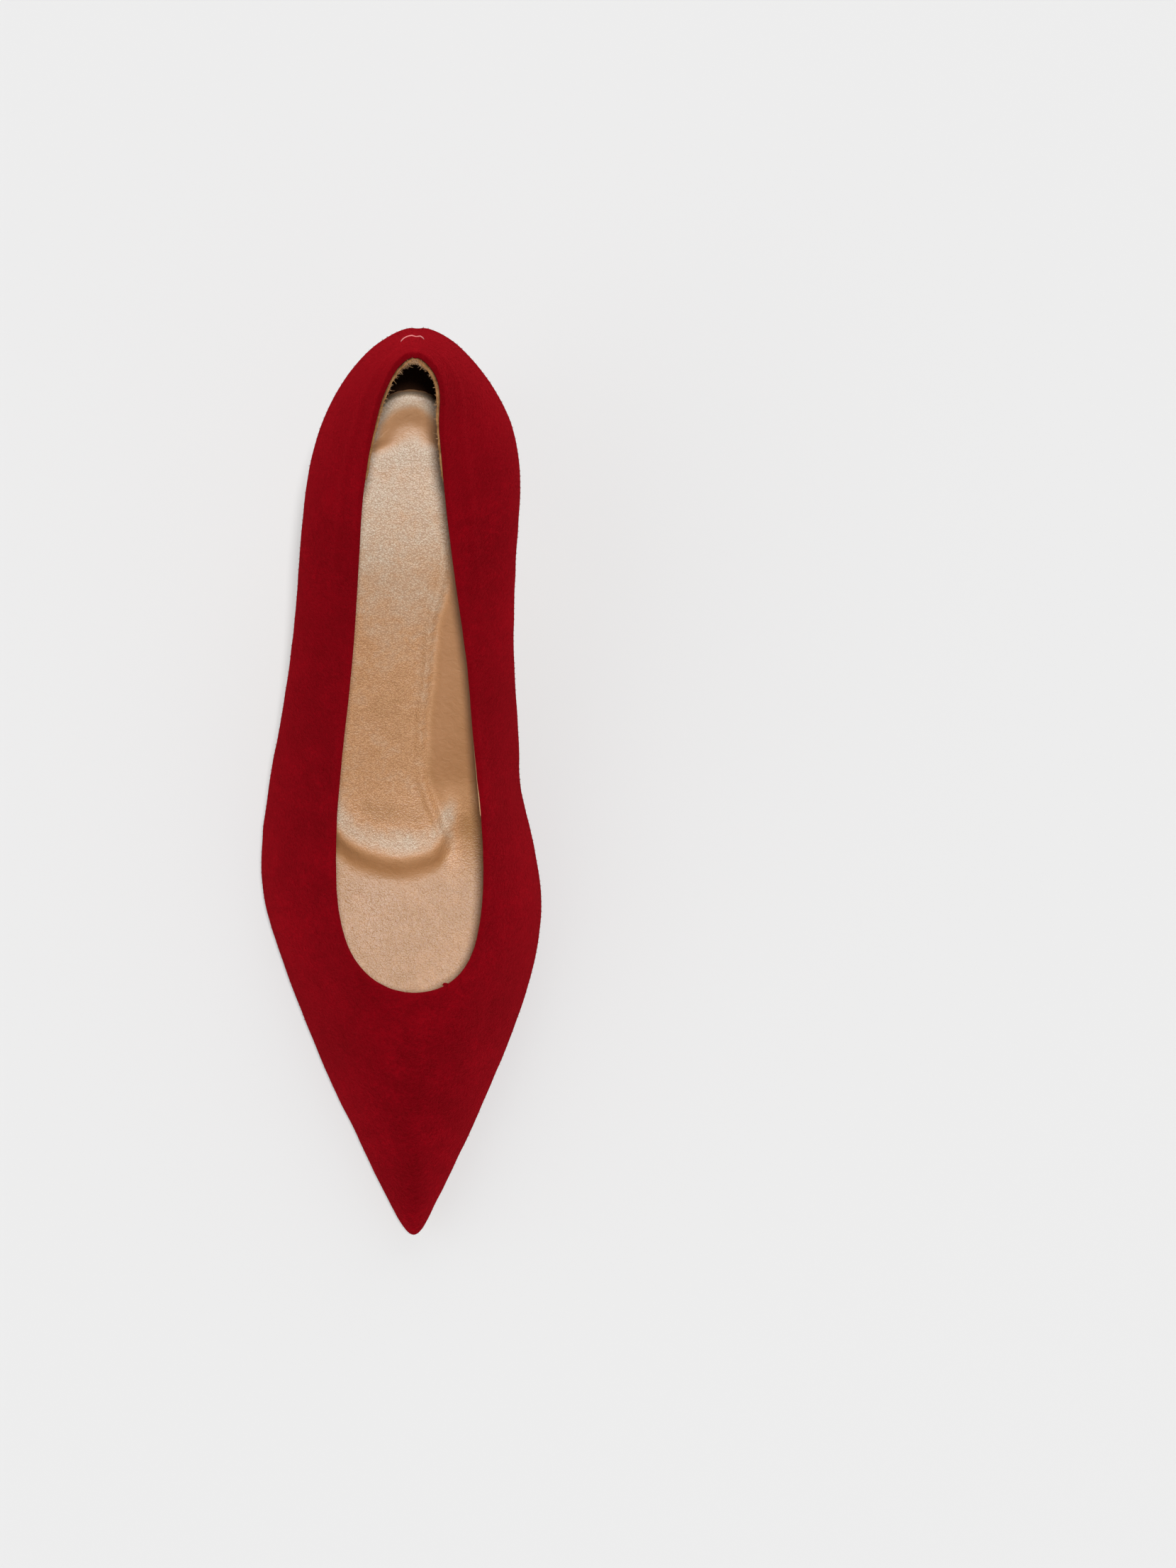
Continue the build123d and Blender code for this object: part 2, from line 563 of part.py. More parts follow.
def sock_hi(y):
    return sock_lo(y) + SOCK_T


keep("sock_lining", prism(sock_ring) & band(-125, 135, sock_lo, sock_hi, n=90, knots=(-28, -14)))

# ---------------------------------------------------------------- heel
ids = [i for i in range(NC) if G["F"][i][1] >= BREAST_Y]
lat_ids = [i for i in ids if i < TIP][::-1]
med_ids = [i for i in ids if i > TIP][::-1]
D_l = (G["F"] + G["nin"] * 0.35)[lat_ids]
D_m = (G["F"] + G["nin"] * 0.35)[med_ids]
D0 = np.vstack([D_l, D_m])        # outer breast corner -> back -> inner breast corner
D0[0, 1] = D0[-1, 1] = BREAST_Y
d_arc = np.concatenate([[0], np.cumsum(np.hypot(*np.diff(D0, axis=0).T))])
D0 = np.stack([np.interp(np.linspace(0, d_arc[-1], 25), d_arc, D0[:, c]) for c in range(2)], -1)
Y_B0, Y_F0 = float(D0[:, 1].max()), BREAST_Y
X0, X1 = float(D0[:, 0].min()), float(D0[:, 0].max())
XC0, HW0 = (X0 + X1) / 2, (X1 - X0) / 2
slope_seat = float((ZB(122) - ZB(80)) / 42)

# height on the axis, back edge, breast edge, half width, tilt share
HEEL = [(TOPPIECE_H, 113.7, 101.7, 5.7, 0.00), (14, 113.6, 101.2, 5.7, 0.00), (24, 114.0, 100.0, 6.1, 0.02),
        (33, 115.0, 97.6, 7.4, 0.08), (41, 116.7, 93.6, 10.0, 0.2), (48, 118.9, 88.4, 13.8, 0.38),
        (54, 121.1, 83.2, 18.0, 0.6), (59.5, 122.8, 79.2, 21.8, 0.82), (64.5, Y_B0 - 0.1, 77.2, HW0 - 0.4, 1.0),
        (75, Y_B0, 77.0, HW0, 1.0)]


def heel_wire(z, yb, yf, hw, tilt, inset=0.0):
    t = (z - HEEL[0][0]) / (64.5 - HEEL[0][0])
    xc = HX + (XC0 - HX) * min(1, max(0, t)) ** 1.5
    yb, yf, hw = yb - inset, yf + inset, hw - inset
    pts = []
    for x, y in D0:
        X = xc + (x - XC0) * hw / HW0
        Y = yf + (y - Y_F0) * (yb - yf) / (Y_B0 - Y_F0)
        pts.append((X, Y, z + tilt * slope_seat * (Y - 106.0)))
    a, b = pts[0], pts[-1]
    q = np.linspace(0, 1, 9)
    ym = yf + min(3.2, 0.16 * hw) * (1 - min(1.0, tilt)) * 4 * q * (1 - q)
    front = np.stack([b[0] + (a[0] - b[0]) * q, ym, z + tilt * slope_seat * (ym - 106.0)], -1)
    return Wire([spl(pts), spl(front)])


def heel_loft(inset):
    return Solid.make_loft([heel_wire(*h, inset=inset) for h in HEEL])


heel_out, heel_in = heel_loft(0.0), heel_loft(HEEL_COVER_T)
above = band(60, 140, off(OUTSOLE_T), off(60), n=12)
heel_out, heel_in = heel_out - above, heel_in - above
print("heel", round(heel_out.volume), round(heel_in.volume))
cover = heel_out - heel_loft(HEEL_COVER_T - 0.03)
keep("heel_cover", cover)
block = heel_in - cyl(HX, HY, 0, 50, TUBE_D / 2 + 0.05) - cyl(SX, SY, float(ZB(SY)) - 17.5, 80, 2.3)
for x, y in nails:
    block = block - cyl(x, y, float(ZB(y)) - 12, float(ZB(y)) + 12, 0.9)
keep("heel_block", block)
keep("heel_tube", cyl(HX, HY, TOPPIECE_H + 0.05, 49.5, TUBE_D / 2) - cyl(HX, HY, 0, 60, TUBE_ID / 2))

tw = [heel_wire(z, 113.8 + e, 101.6 - e, 5.75 + e, 0.0) for z, e in ((0.0, -0.15), (TOPPIECE_H - 0.05, 0.0))]
top_piece = Solid.make_loft(tw, ruled=True) - cyl(HX, HY, 1.6, 10, 1.55)
keep("top_piece", top_piece)
keep("top_piece_pin", cyl(HX, HY, 1.7, 18.0, 1.48))

z_s = float(ZB(SY))
screw = cyl(SX, SY, z_s - 17, z_s + BACK_Z1 + 0.8, 2.15) + cyl(SX, SY, z_s + BACK_Z1 + 0.7, z_s + BACK_Z1 + 1.35, 2.9)
keep("heel_screw", screw)
nl = None
for x, y in nails:
    z = float(ZB(y))
    n1 = cyl(x, y, z - 11, z + BACK_Z1 + 0.55, 0.8) + cyl(x, y, z + BACK_Z1 + 0.5, z + BACK_Z1 + 0.9, 1.6)
    nl = n1 if nl is None else nl + n1
keep("heel_nails", nl)
# the cushion is hollowed over the screw and nail heads
parts["arch_cushion"] = None
cc = cushion
for x, y in nails:
    cc = cc - cyl(x, y, float(ZB(y)) + 2, float(ZB(y)) + BACK_Z1 + 1.1, 2.1)
cc = cc - cyl(SX, SY, z_s, z_s + BACK_Z1 + 1.5, 3.2)
for x, y in rivets:
    top = BACK_Z1 if y > 4 else INSOLE_Z1
    cc = cc - square_to_sole(x, y, top - 1.2, top + 0.75, 3.0)
keep("arch_cushion", cc)

# ---------------------------------------------------------------- back seam
i0 = 0
col = L0[0]
bar = []
for f in np.linspace(0.955, 0.985, 4):
    bar.append(along(col, np.array([f]))[0])
ctr = along(col, np.array([0.965]))[0]
nrm = N[0][58]
# bar tack across the top of the back seam: a short thick thread following the back curve
tack_pts = []
for k in (-6, -4, -2, 0, 2, 4, 6):
    c = L0[k % NC]
    n_k = N[k % NC][58]
    f = 1 - 3.4 / LEN[k % NC]
    tack_pts.append(along(c, np.array([f]))[0] + 0.42 * n_k)
tp = [V3(p) for p in tack_pts]
path = Edge.make_spline(tp)
tack = Solid.sweep(Face(Wire([Edge.make_circle(0.36, Plane(origin=path @ 0, z_dir=path % 0))])), Wire([path]))
keep("back_seam_bar_tack", tack)

# ---------------------------------------------------------------- centre on the origin and write
os.makedirs("parts", exist_ok=True)
lo = np.array([1e9] * 3)
hi = -lo
for s in parts.values():
    b = s.bounding_box()
    lo = np.minimum(lo, [b.min.X, b.min.Y, b.min.Z])
    hi = np.maximum(hi, [b.max.X, b.max.Y, b.max.Z])
print("box", np.round(lo, 3), np.round(hi, 3), "size", np.round(hi - lo, 2))
shift = Vector(float(-(lo[0] + hi[0]) / 2), float(-(lo[1] + hi[1]) / 2), float(-lo[2]))
print("shift", shift)
for name, s in parts.items():
    export_step(s.moved(Location(shift)), "parts/" + name + ".step")
    print(name, len(s.solids()), round(sum(q.volume for q in s.solids()), 1))
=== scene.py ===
import bpy
import math
import numpy as np
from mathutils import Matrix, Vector


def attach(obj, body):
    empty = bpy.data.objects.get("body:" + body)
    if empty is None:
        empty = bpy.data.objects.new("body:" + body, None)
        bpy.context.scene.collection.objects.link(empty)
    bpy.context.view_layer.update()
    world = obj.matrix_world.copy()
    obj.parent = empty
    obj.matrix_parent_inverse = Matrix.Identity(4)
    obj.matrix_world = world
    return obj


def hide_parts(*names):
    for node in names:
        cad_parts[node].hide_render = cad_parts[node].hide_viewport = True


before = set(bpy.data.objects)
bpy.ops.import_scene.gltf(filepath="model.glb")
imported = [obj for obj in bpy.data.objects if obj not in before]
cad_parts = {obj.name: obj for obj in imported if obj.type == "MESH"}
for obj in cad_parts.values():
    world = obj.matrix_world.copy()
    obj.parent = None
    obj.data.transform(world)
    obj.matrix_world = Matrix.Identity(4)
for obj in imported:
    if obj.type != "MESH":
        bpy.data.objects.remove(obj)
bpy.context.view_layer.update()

# The suede upper, linings, sock, soles and heel are built on the same shape functions as the
# solid model, in millimetres before the final shift, and written out in metres.
SHIFT = np.array([0.0755, -0.1035, 0.0])


# ---------------------------------------------------------------- shape of the last
# Widest outline of the upper seen from above, and the outline of its opening (mm).
# Both loops run: middle of the back, outer side, front, inner side.
O_PTS = [(7.41, 128.29), (-1.42, 125.47), (-8.72, 119.61), (-14.41, 112.17), (-18.71, 103.84),
         (-21.78, 94.98), (-23.79, 85.82), (-25.14, 76.53), (-26.22, 67.21), (-27.24, 57.88),
         (-28.39, 48.57), (-29.84, 39.29), (-31.63, 30.08), (-33.64, 20.91), (-35.73, 11.76),
         (-37.77, 2.61), (-39.50, -6.62), (-40.55, -15.94), (-40.50, -25.32), (-39.01, -34.57),
         (-36.40, -43.58), (-33.25, -52.42), (-29.91, -61.19), (-26.46, -69.92), (-22.87, -78.59),
         (-19.04, -87.16), (-14.95, -95.60), (-10.82, -104.04), (-6.78, -112.51), (-2.44, -120.82),
         (3.39, -127.87), (8.81, -120.73), (12.95, -112.45), (16.87, -104.07), (20.73, -95.65),
         (24.50, -87.20), (28.14, -78.68), (31.58, -70.09), (34.75, -61.39), (37.49, -52.55),
         (39.52, -43.52), (40.51, -34.32), (40.16, -25.08), (38.67, -15.94), (36.87, -6.86),
         (34.87, 2.17), (34.46, 11.38), (34.18, 20.63), (33.63, 29.87), (33.27, 39.13),
         (33.27, 48.38), (33.62, 57.63), (34.19, 66.87), (34.83, 76.11), (35.35, 85.35),
         (34.97, 94.59), (32.58, 103.51), (28.31, 111.71), (22.95, 119.25), (16.08, 125.41)]
T_PTS = [(7.97, 117.45), (1.01, 111.58), (-2.67, 102.77), (-5.12, 93.54), (-6.80, 84.13),
         (-7.99, 74.65), (-8.91, 65.13), (-9.75, 55.61), (-10.64, 46.10), (-11.68, 36.59),
         (-12.92, 27.12), (-14.31, 17.66), (-15.66, 8.20), (-16.77, -1.29), (-17.45, -10.83),
         (-17.63, -20.38), (-17.36, -29.93), (-15.68, -39.32), (-11.55, -47.90), (-4.43, -54.13),
         (4.79, -56.31), (13.74, -53.94), (19.99, -47.08), (23.07, -38.26), (24.23, -28.96),
         (24.56, -19.58), (24.30, -10.21), (23.64, -0.85), (22.77, 8.49), (21.94, 17.83),
         (21.24, 27.19), (20.39, 36.53), (19.28, 45.84), (18.03, 55.14), (16.79, 64.44),
         (15.71, 73.76), (14.88, 83.10), (14.27, 92.46), (13.91, 101.83), (13.75, 111.21)]


def spline_fn(t, y, periodic=False):
    """C2 cubic through (t, y); y may have several columns."""
    t = np.asarray(t, float); y = np.asarray(y, float)
    if y.ndim == 1:
        y = y[:, None]
    n = len(t); h = np.diff(t); d = np.diff(y, axis=0) / h[:, None]
    if periodic:
        m = n - 1; A = np.zeros((m, m)); B = np.zeros((m, y.shape[1]))
        for i in range(m):
            hp = h[i - 1]; hi = h[i]
            A[i, (i - 1) % m] += hp; A[i, i] += 2 * (hp + hi); A[i, (i + 1) % m] += hi
            B[i] = 6 * (d[i] - d[i - 1])
        M = np.linalg.solve(A, B); M = np.vstack([M, M[:1]])
    else:
        A = np.eye(n); B = np.zeros((n, y.shape[1]))
        for i in range(1, n - 1):
            A[i, i - 1] = h[i - 1]; A[i, i] = 2 * (h[i - 1] + h[i]); A[i, i + 1] = h[i]
            B[i] = 6 * (d[i] - d[i - 1])
        M = np.linalg.solve(A, B)

    def f(x):
        x = np.asarray(x, float)
        i = np.clip(np.searchsorted(t, x, side="right") - 1, 0, n - 2)
        a = (x - t[i])[..., None]; b = (t[i + 1] - x)[..., None]; hh = h[i][..., None]
        return (M[i] * b ** 3 + M[i + 1] * a ** 3) / (6 * hh) + \
               (y[i] / hh - M[i] * hh / 6) * b + (y[i + 1] / hh - M[i + 1] * hh / 6) * a
    return f


def mono(xs, ys):
    """Monotone smooth interpolation through a table."""
    xs = np.asarray(xs, float); ys = np.asarray(ys, float)
    h = np.diff(xs); d = np.diff(ys) / h; m = np.zeros(len(xs))
    for i in range(1, len(xs) - 1):
        if d[i - 1] * d[i] > 0:
            w1 = 2 * h[i] + h[i - 1]; w2 = h[i] + 2 * h[i - 1]
            m[i] = (w1 + w2) / (w1 / d[i - 1] + w2 / d[i])
    m[0] = d[0]; m[-1] = d[-1]

    def f(x):
        x = np.clip(np.asarray(x, float), xs[0], xs[-1])
        i = np.clip(np.searchsorted(xs, x, side="right") - 1, 0, len(xs) - 2)
        t = (x - xs[i]) / h[i]
        return (ys[i] * (1 + 2 * t) * (1 - t) ** 2 + h[i] * m[i] * t * (1 - t) ** 2 +
                ys[i + 1] * t * t * (3 - 2 * t) + h[i] * m[i + 1] * t * t * (t - 1))
    return f


def closed_curve(pts):
    p = np.vstack([pts, pts[:1]]); p = np.asarray(p, float)
    s = np.concatenate([[0], np.cumsum(np.hypot(*np.diff(p, axis=0).T))])
    f = spline_fn(s, p, True); u = np.linspace(0, s[-1], 24001); q = f(u)
    a = np.concatenate([[0], np.cumsum(np.hypot(*np.diff(q, axis=0).T))])
    i_tip = int(np.argmin(q[:, 1]))
    return q, a, i_tip


# side line of the outsole's underside: flat tread, arch, heel seat, toe spring
TREAD0, TREAD1 = -66.0, -36.0
_yg = np.linspace(-145, 145, 5801)


def _s5(t):
    t = np.clip(t, 0, 1)
    return t ** 3 * (10 - 15 * t + 6 * t * t)


_sl = 0.67 * _s5((_yg - TREAD1) / 52) - 0.42 * _s5((_yg - 46) / 50)
_zz = np.concatenate([[0], np.cumsum((_sl[1:] + _sl[:-1]) / 2 * np.diff(_yg))])
_zz = _zz - np.interp(TREAD1, _yg, _zz)
_zz = _zz + np.where(_yg < TREAD0, 5.0 * ((TREAD0 - _yg) / 62.5) ** 2, 0)


def z_bottom(y):
    return np.interp(y, _yg, _zz)


OUTSOLE_T = 2.5
TOP_OUT = 1.25            # the outside of the suede stands this far out from the opening's edge
FEATHER = OUTSOLE_T + 0.1
h_bulge = mono([-140, -128, -100, -60, -20, 0, 40, 80, 110, 128, 140],
               [6.5, 6.5, 8.5, 10.5, 12, 14, 18, 19.5, 20, 20, 20])
z_top = mono([-60, -57, -40, -20, 0, 20, 40, 60, 80, 100, 110, 117.5, 130],
             [39.5, 39.5, 40.8, 44.0, 50.5, 60.5, 72.5, 85.5, 98, 111.5, 119.5, 126, 132])
inset_lat = mono([-140, -128, -110, -70, -30, 0, 30, 60, 90, 115, 130],
                 [1.0, 1.0, 2.0, 2.8, 4, 5, 7, 7, 5.2, 4.6, 4.5])
inset_med = mono([-140, -128, -110, -70, -30, 0, 30, 60, 90, 115, 130],
                 [1.0, 1.0, 2.0, 2.8, 4, 6.5, 10, 9, 5.6, 4.6, 4.5])
p_curve = mono([-140, -128, -80, -40, 0, 40, 80, 128], [1.45, 1.45, 1.6, 1.9, 2.1, 2.1, 1.9, 1.7])
# middle line of the shoe in plan
mid_x = mono([-130, -120, -100, -60, -20, 20, 60, 100, 130], [3.2, 3.4, 4.4, 2.4, 0.0, 0.2, 3.3, 6.6, 7.6])

_OQ, _OA, _OI = closed_curve(O_PTS)
_TQ, _TA, _TI = closed_curve(T_PTS)


def _frac_at(q, a, i_tip, y, lateral):
    """arc fraction (0 at back, 1 at front) where a half loop passes height y"""
    if lateral:
        Y = q[:i_tip + 1, 1]; s = a[:i_tip + 1] / a[i_tip]
        return np.interp(-y, -Y, s)
    Y = q[i_tip:, 1][::-1]; s = (a[-1] - a[i_tip:][::-1]) / (a[-1] - a[i_tip])
    return np.interp(-y, -Y, s)


_PAIRS = [(118, 113.5), (108, 105), (80, 80), (60, 60), (20, 20), (0, 0), (-20, -17), (-50, -33), (-80, -44), (-108, -52)]
_map = {}
for _side in (True, False):
    _a = [0.0] + [float(_frac_at(_OQ, _OA, _OI, p, _side)) for p, _ in _PAIRS] + [1.0]
    _b = [0.0] + [float(_frac_at(_TQ, _TA, _TI, p, _side)) for _, p in _PAIRS] + [1.0]
    _map[_side] = mono(_a, _b)


def columns(smin=0.5, grow=0.055, smax=2.2):
    """Signed arc stations along the outline: half-loop fractions for both sides, dense at the toe point."""
    L1 = _OA[_OI]; L2 = _OA[-1] - _OA[_OI]

    def side(L):
        s = [0.0]
        while s[-1] < L:
            s.append(s[-1] + min(smax, smin + grow * s[-1]))
        s = np.array(s); s *= L / s[-1]
        return 1 - s / L          # 1 at the front, 0 at the back
    a = side(L1)[::-1]            # back -> front
    b = side(L2)                  # front -> back
    return a, b


def half_points(q, a, i_tip, f, lateral):
    if lateral:
        s = f * a[i_tip]
    else:
        s = a[-1] - f * (a[-1] - a[i_tip])
    return np.stack([np.interp(s, a, q[:, 0]), np.interp(s, a, q[:, 1])], -1)


def smooth_ring(V, s, total, sig):
    """gaussian smoothing round a closed ring with stations s"""
    out = np.zeros_like(V)
    w0 = np.gradient(np.concatenate([[s[-1] - total], s, [total + s[0]]]))[1:-1]
    for i in range(len(s)):
        d = np.abs(s - s[i]); d = np.minimum(d, total - d)
        w = w0 * np.exp(-0.5 * (d / sig) ** 2)
        out[i] = (V * w.reshape((-1,) + (1,) * (V.ndim - 1))).sum(0) / w.sum()
    return out


def build_grid(nv=61, smin=0.5, grow=0.055, smax=2.2):
    """P[i, j]: outside of the upper. i runs round the shoe from the back over the outer side,
    j from the feather edge (0) to the topline. Also S, the arc station of each column."""
    fa, fb = columns(smin, grow, smax)
    nb = len(fb)
    O = np.vstack([half_points(_OQ, _OA, _OI, fa, True), half_points(_OQ, _OA, _OI, fb, False)[1:-1]])
    T = np.vstack([half_points(_TQ, _TA, _TI, _map[True](fa), True),
                   half_points(_TQ, _TA, _TI, _map[False](fb), False)[1:-1]])
    i_tip = len(fa) - 1; n = len(O)
    tt = np.roll(T, -1, 0) - np.roll(T, 1, 0); tt /= np.hypot(*tt.T)[:, None]
    T = T - TOP_OUT * np.stack([-tt[:, 1], tt[:, 0]], -1)
    med = np.zeros(n); med[i_tip + 1:] = 1.0
    seg = np.hypot(*(np.roll(O, -1, 0) - O).T); S = np.concatenate([[0], np.cumsum(seg)])
    total = S[-1]; S = S[:-1]
    # plan normals pointing in
    tx = np.roll(O, -1, 0) - np.roll(O, 1, 0); tx /= np.hypot(*tx.T)[:, None]
    nin = np.stack([-tx[:, 1], tx[:, 0]], -1)          # loop runs anticlockwise seen from above
    ys = O[:, 1]
    side_w = np.clip(0.5 + (O[:, 0] - mid_x(ys)) / 16, 0, 1)
    ins = inset_lat(ys) * (1 - side_w) + inset_med(ys) * side_w
    F = O + nin * ins[:, None]
    zF = z_bottom(F[:, 1]) + FEATHER
    zB = z_bottom(ys) + FEATHER + h_bulge(ys)
    side_t = np.clip(0.5 + (T[:, 0] - mid_x(T[:, 1])) / 20, 0, 1)
    zT = z_top(T[:, 1]) + 1.6 * side_t * np.clip((100 - T[:, 1]) / 40, 0, 1) * np.clip((T[:, 1] + 45) / 30, 0, 1)
    p = p_curve(ys)
    k = 90
    h1 = np.linspace(0, 1, 31); h2 = np.linspace(0, 1, k)[1:] ** 1.35
    A = np.zeros((n, 31 + k - 1, 3))
    A[:, :31, :2] = O[:, None] + (nin * ins[:, None])[:, None] * ((1 - h1) ** 2)[None, :, None]
    A[:, :31, 2] = zF[:, None] + (zB - zF)[:, None] * h1
    w = h2[None, :] ** p[:, None]
    A[:, 31:, :2] = O[:, None] + w[..., None] * (T - O)[:, None]
    A[:, 31:, 2] = zB[:, None] + (zT - zB)[:, None] * h2
    d = np.sqrt((np.diff(A, axis=1) ** 2).sum(-1)); a = np.concatenate([np.zeros((n, 1)), np.cumsum(d, 1)], 1)
    v = np.linspace(0, 1, nv)
    P = np.zeros((n, nv, 3))
    for i in range(n):
        for c in range(3):
            P[i, :, c] = np.interp(v * a[i, -1], a[i], A[i, :, c])
    return dict(P=P, S=S, total=total, i_tip=i_tip, O=O, F=F, T=T, zF=zF, zB=zB, zT=zT, nin=nin, A=A, LEN=a[:, -1])


def grid_normals(P, S, total, sig=1.2):
    du = np.roll(P, -1, 0) - np.roll(P, 1, 0)
    dv = np.gradient(P, axis=1)
    N = np.cross(du, dv)
    N /= np.linalg.norm(N, axis=-1, keepdims=True)
    N = smooth_ring(N, S, total, sig)
    N /= np.linalg.norm(N, axis=-1, keepdims=True)
    return N


def offset_ring(Q, S, total, i_tip, win):
    """Replace the run within +-win of the toe point by a rounded cap between its ends."""
    if win <= 0:
        return Q
    n = len(S); d = S - S[i_tip]
    ids = np.where(np.abs(d) <= win)[0]
    a, b = ids[0] - 1, ids[-1] + 1
    L = d[b] - d[a]
    out = Q.copy()
    t = (d[a:b + 1] - d[a]) / L
    t = t.reshape((-1,) + (1,) * (Q.ndim - 1))
    ta = Q[a] - Q[a - 1]; tb = Q[b + 1] - Q[b]
    ta = ta / (np.linalg.norm(ta, axis=-1, keepdims=True) + 1e-9)
    tb = tb / (np.linalg.norm(tb, axis=-1, keepdims=True) + 1e-9)
    ch = np.linalg.norm(Q[b] - Q[a], axis=-1, keepdims=True) * 1.45
    h00 = 2 * t ** 3 - 3 * t ** 2 + 1; h10 = t ** 3 - 2 * t ** 2 + t
    h01 = -2 * t ** 3 + 3 * t ** 2; h11 = t ** 3 - t ** 2
    out[a:b + 1] = h00 * Q[a] + h10 * ta * ch + h01 * Q[b] + h11 * tb * ch
    return out


def layer(G, N, d, win=None):
    """Surface d inside the outside of the upper."""
    Q = G["P"] - N * d
    if win is None:
        win = 0 if d < 1.3 else 3.3 * d
    return offset_ring(Q, G["S"], G["total"], G["i_tip"], win)


def at_height(Q, dz):
    """ring where a layer stands dz above the sole's underside line"""
    n = len(Q); out = np.zeros((n, 3))
    for i in range(n):
        hgt = Q[i, :, 2] - z_bottom(Q[i, :, 1])
        k = int(np.argmax(hgt >= dz)); k = max(k, 1)
        t = (dz - hgt[k - 1]) / (hgt[k] - hgt[k - 1])
        t = np.clip(t, 0, 1)
        out[i] = Q[i, k - 1] * (1 - t) + Q[i, k] * t
    return out

# ================================================================ small helpers
rng = np.random.default_rng(7)


def new_mesh(name, verts, faces, uvs=None, smooth=True, attrs=None):
    me = bpy.data.meshes.new(name)
    v = (np.asarray(verts, float).reshape(-1, 3) + SHIFT) * 0.001
    me.from_pydata(v.tolist(), [], [tuple(int(q) for q in f) for f in faces])
    me.update()
    if smooth:
        me.polygons.foreach_set("use_smooth", np.ones(len(me.polygons), bool))
    for k, a in (attrs or {}).items():
        at = me.attributes.new(k, "FLOAT", "POINT")
        at.data.foreach_set("value", np.asarray(a, np.float32).ravel())
    ob = bpy.data.objects.new(name, me)
    bpy.context.scene.collection.objects.link(ob)
    return ob


def ring_faces(n, m, close_u=True, close_v=False, base=0):
    """quads over an n by m lattice of vertices numbered i*m+j"""
    i = np.arange(n if close_u else n - 1)
    j = np.arange(m if close_v else m - 1)
    I, J = np.meshgrid(i, j, indexing="ij")
    I2, J2 = (I + 1) % n, (J + 1) % m
    f = np.stack([I * m + J, I2 * m + J, I2 * m + J2, I * m + J2], -1).reshape(-1, 4) + base
    return f


def vnoise(P, scale, seed=0, octaves=1, rough=0.5):
    """smooth value noise at points P (mm), about -1..1"""
    P = np.asarray(P, float) / scale
    out = np.zeros(P.shape[:-1])
    amp, tot = 1.0, 0.0
    for o in range(octaves):
        q = P * 2 ** o + 31.7 * (seed + o)
        i0 = np.floor(q).astype(np.int64)
        f = q - i0
        f = f * f * (3 - 2 * f)
        r = 0
        for dx in (0, 1):
            for dy in (0, 1):
                for dz in (0, 1):
                    h = (i0[..., 0] + dx) * 73856093 ^ (i0[..., 1] + dy) * 19349663 ^ (i0[..., 2] + dz) * 83492791 ^ (seed * 2654435)
                    h = (h ^ (h >> 13)) * 1274126177
                    h = ((h ^ (h >> 16)) & 0xFFFFFF) / 0xFFFFFF * 2 - 1
                    w = (f[..., 0] if dx else 1 - f[..., 0]) * (f[..., 1] if dy else 1 - f[..., 1]) * (f[..., 2] if dz else 1 - f[..., 2])
                    r = r + h * w
        out += r * amp
        tot += amp
        amp *= rough
    return out / tot * 1.6


def step01(x, a, b):
    t = np.clip((np.asarray(x, float) - a) / (b - a), 0, 1)
    return t * t * (3 - 2 * t)


def bump01(x, c, w):
    return np.exp(-0.5 * ((np.asarray(x, float) - c) / w) ** 2)


# ================================================================ materials
def nodes_of(mat):
    mat.use_nodes = True
    nt = mat.node_tree
    nt.nodes.clear()
    out = nt.nodes.new("ShaderNodeOutputMaterial")
    b = nt.nodes.new("ShaderNodeBsdfPrincipled")
    nt.links.new(b.outputs["BSDF"], out.inputs["Surface"])
    return nt, b


def N_(nt, kind, **kw):
    n = nt.nodes.new(kind)
    for k, v in kw.items():
        if k in n.inputs:
            n.inputs[k].default_value = v
        else:
            setattr(n, k, v)
    return n


def coords(nt):
    return nt.nodes.new("ShaderNodeTexCoord").outputs["Object"]


def noise(nt, co, scale, detail=2.0, rough=0.5, dist=0.0):
    n = nt.nodes.new("ShaderNodeTexNoise")
    n.inputs["Scale"].default_value = scale
    n.inputs["Detail"].default_value = detail
    n.inputs["Roughness"].default_value = rough
    n.inputs["Distortion"].default_value = dist
    nt.links.new(co, n.inputs["Vector"])
    return n.outputs["Fac"]


def voro(nt, co, scale, feature="F1", smooth=None, rand=1.0):
    n = nt.nodes.new("ShaderNodeTexVoronoi")
    n.feature = feature
    n.inputs["Scale"].default_value = scale
    n.inputs["Randomness"].default_value = rand
    if smooth is not None and "Smoothness" in n.inputs:
        n.inputs["Smoothness"].default_value = smooth
    nt.links.new(co, n.inputs["Vector"])
    return n.outputs["Distance"]


def ramp(nt, fac, stops):
    r = nt.nodes.new("ShaderNodeValToRGB")
    e = r.color_ramp.elements
    while len(e) > 1:
        e.remove(e[-1])
    e[0].position = stops[0][0]
    e[0].color = (*stops[0][1], 1)
    for p, c in stops[1:]:
        q = e.new(p)
        q.color = (*c, 1)
    nt.links.new(fac, r.inputs["Fac"])
    return r.outputs["Color"]


def math_(nt, op, a, b=None, c=None, clamp=False):
    n = nt.nodes.new("ShaderNodeMath")
    n.operation = op
    n.use_clamp = clamp
    for i, v in enumerate((a, b, c)):
        if v is None:
            continue
        if isinstance(v, (int, float)):
            n.inputs[i].default_value = float(v)
        else:
            nt.links.new(v, n.inputs[i])
    return n.outputs[0]


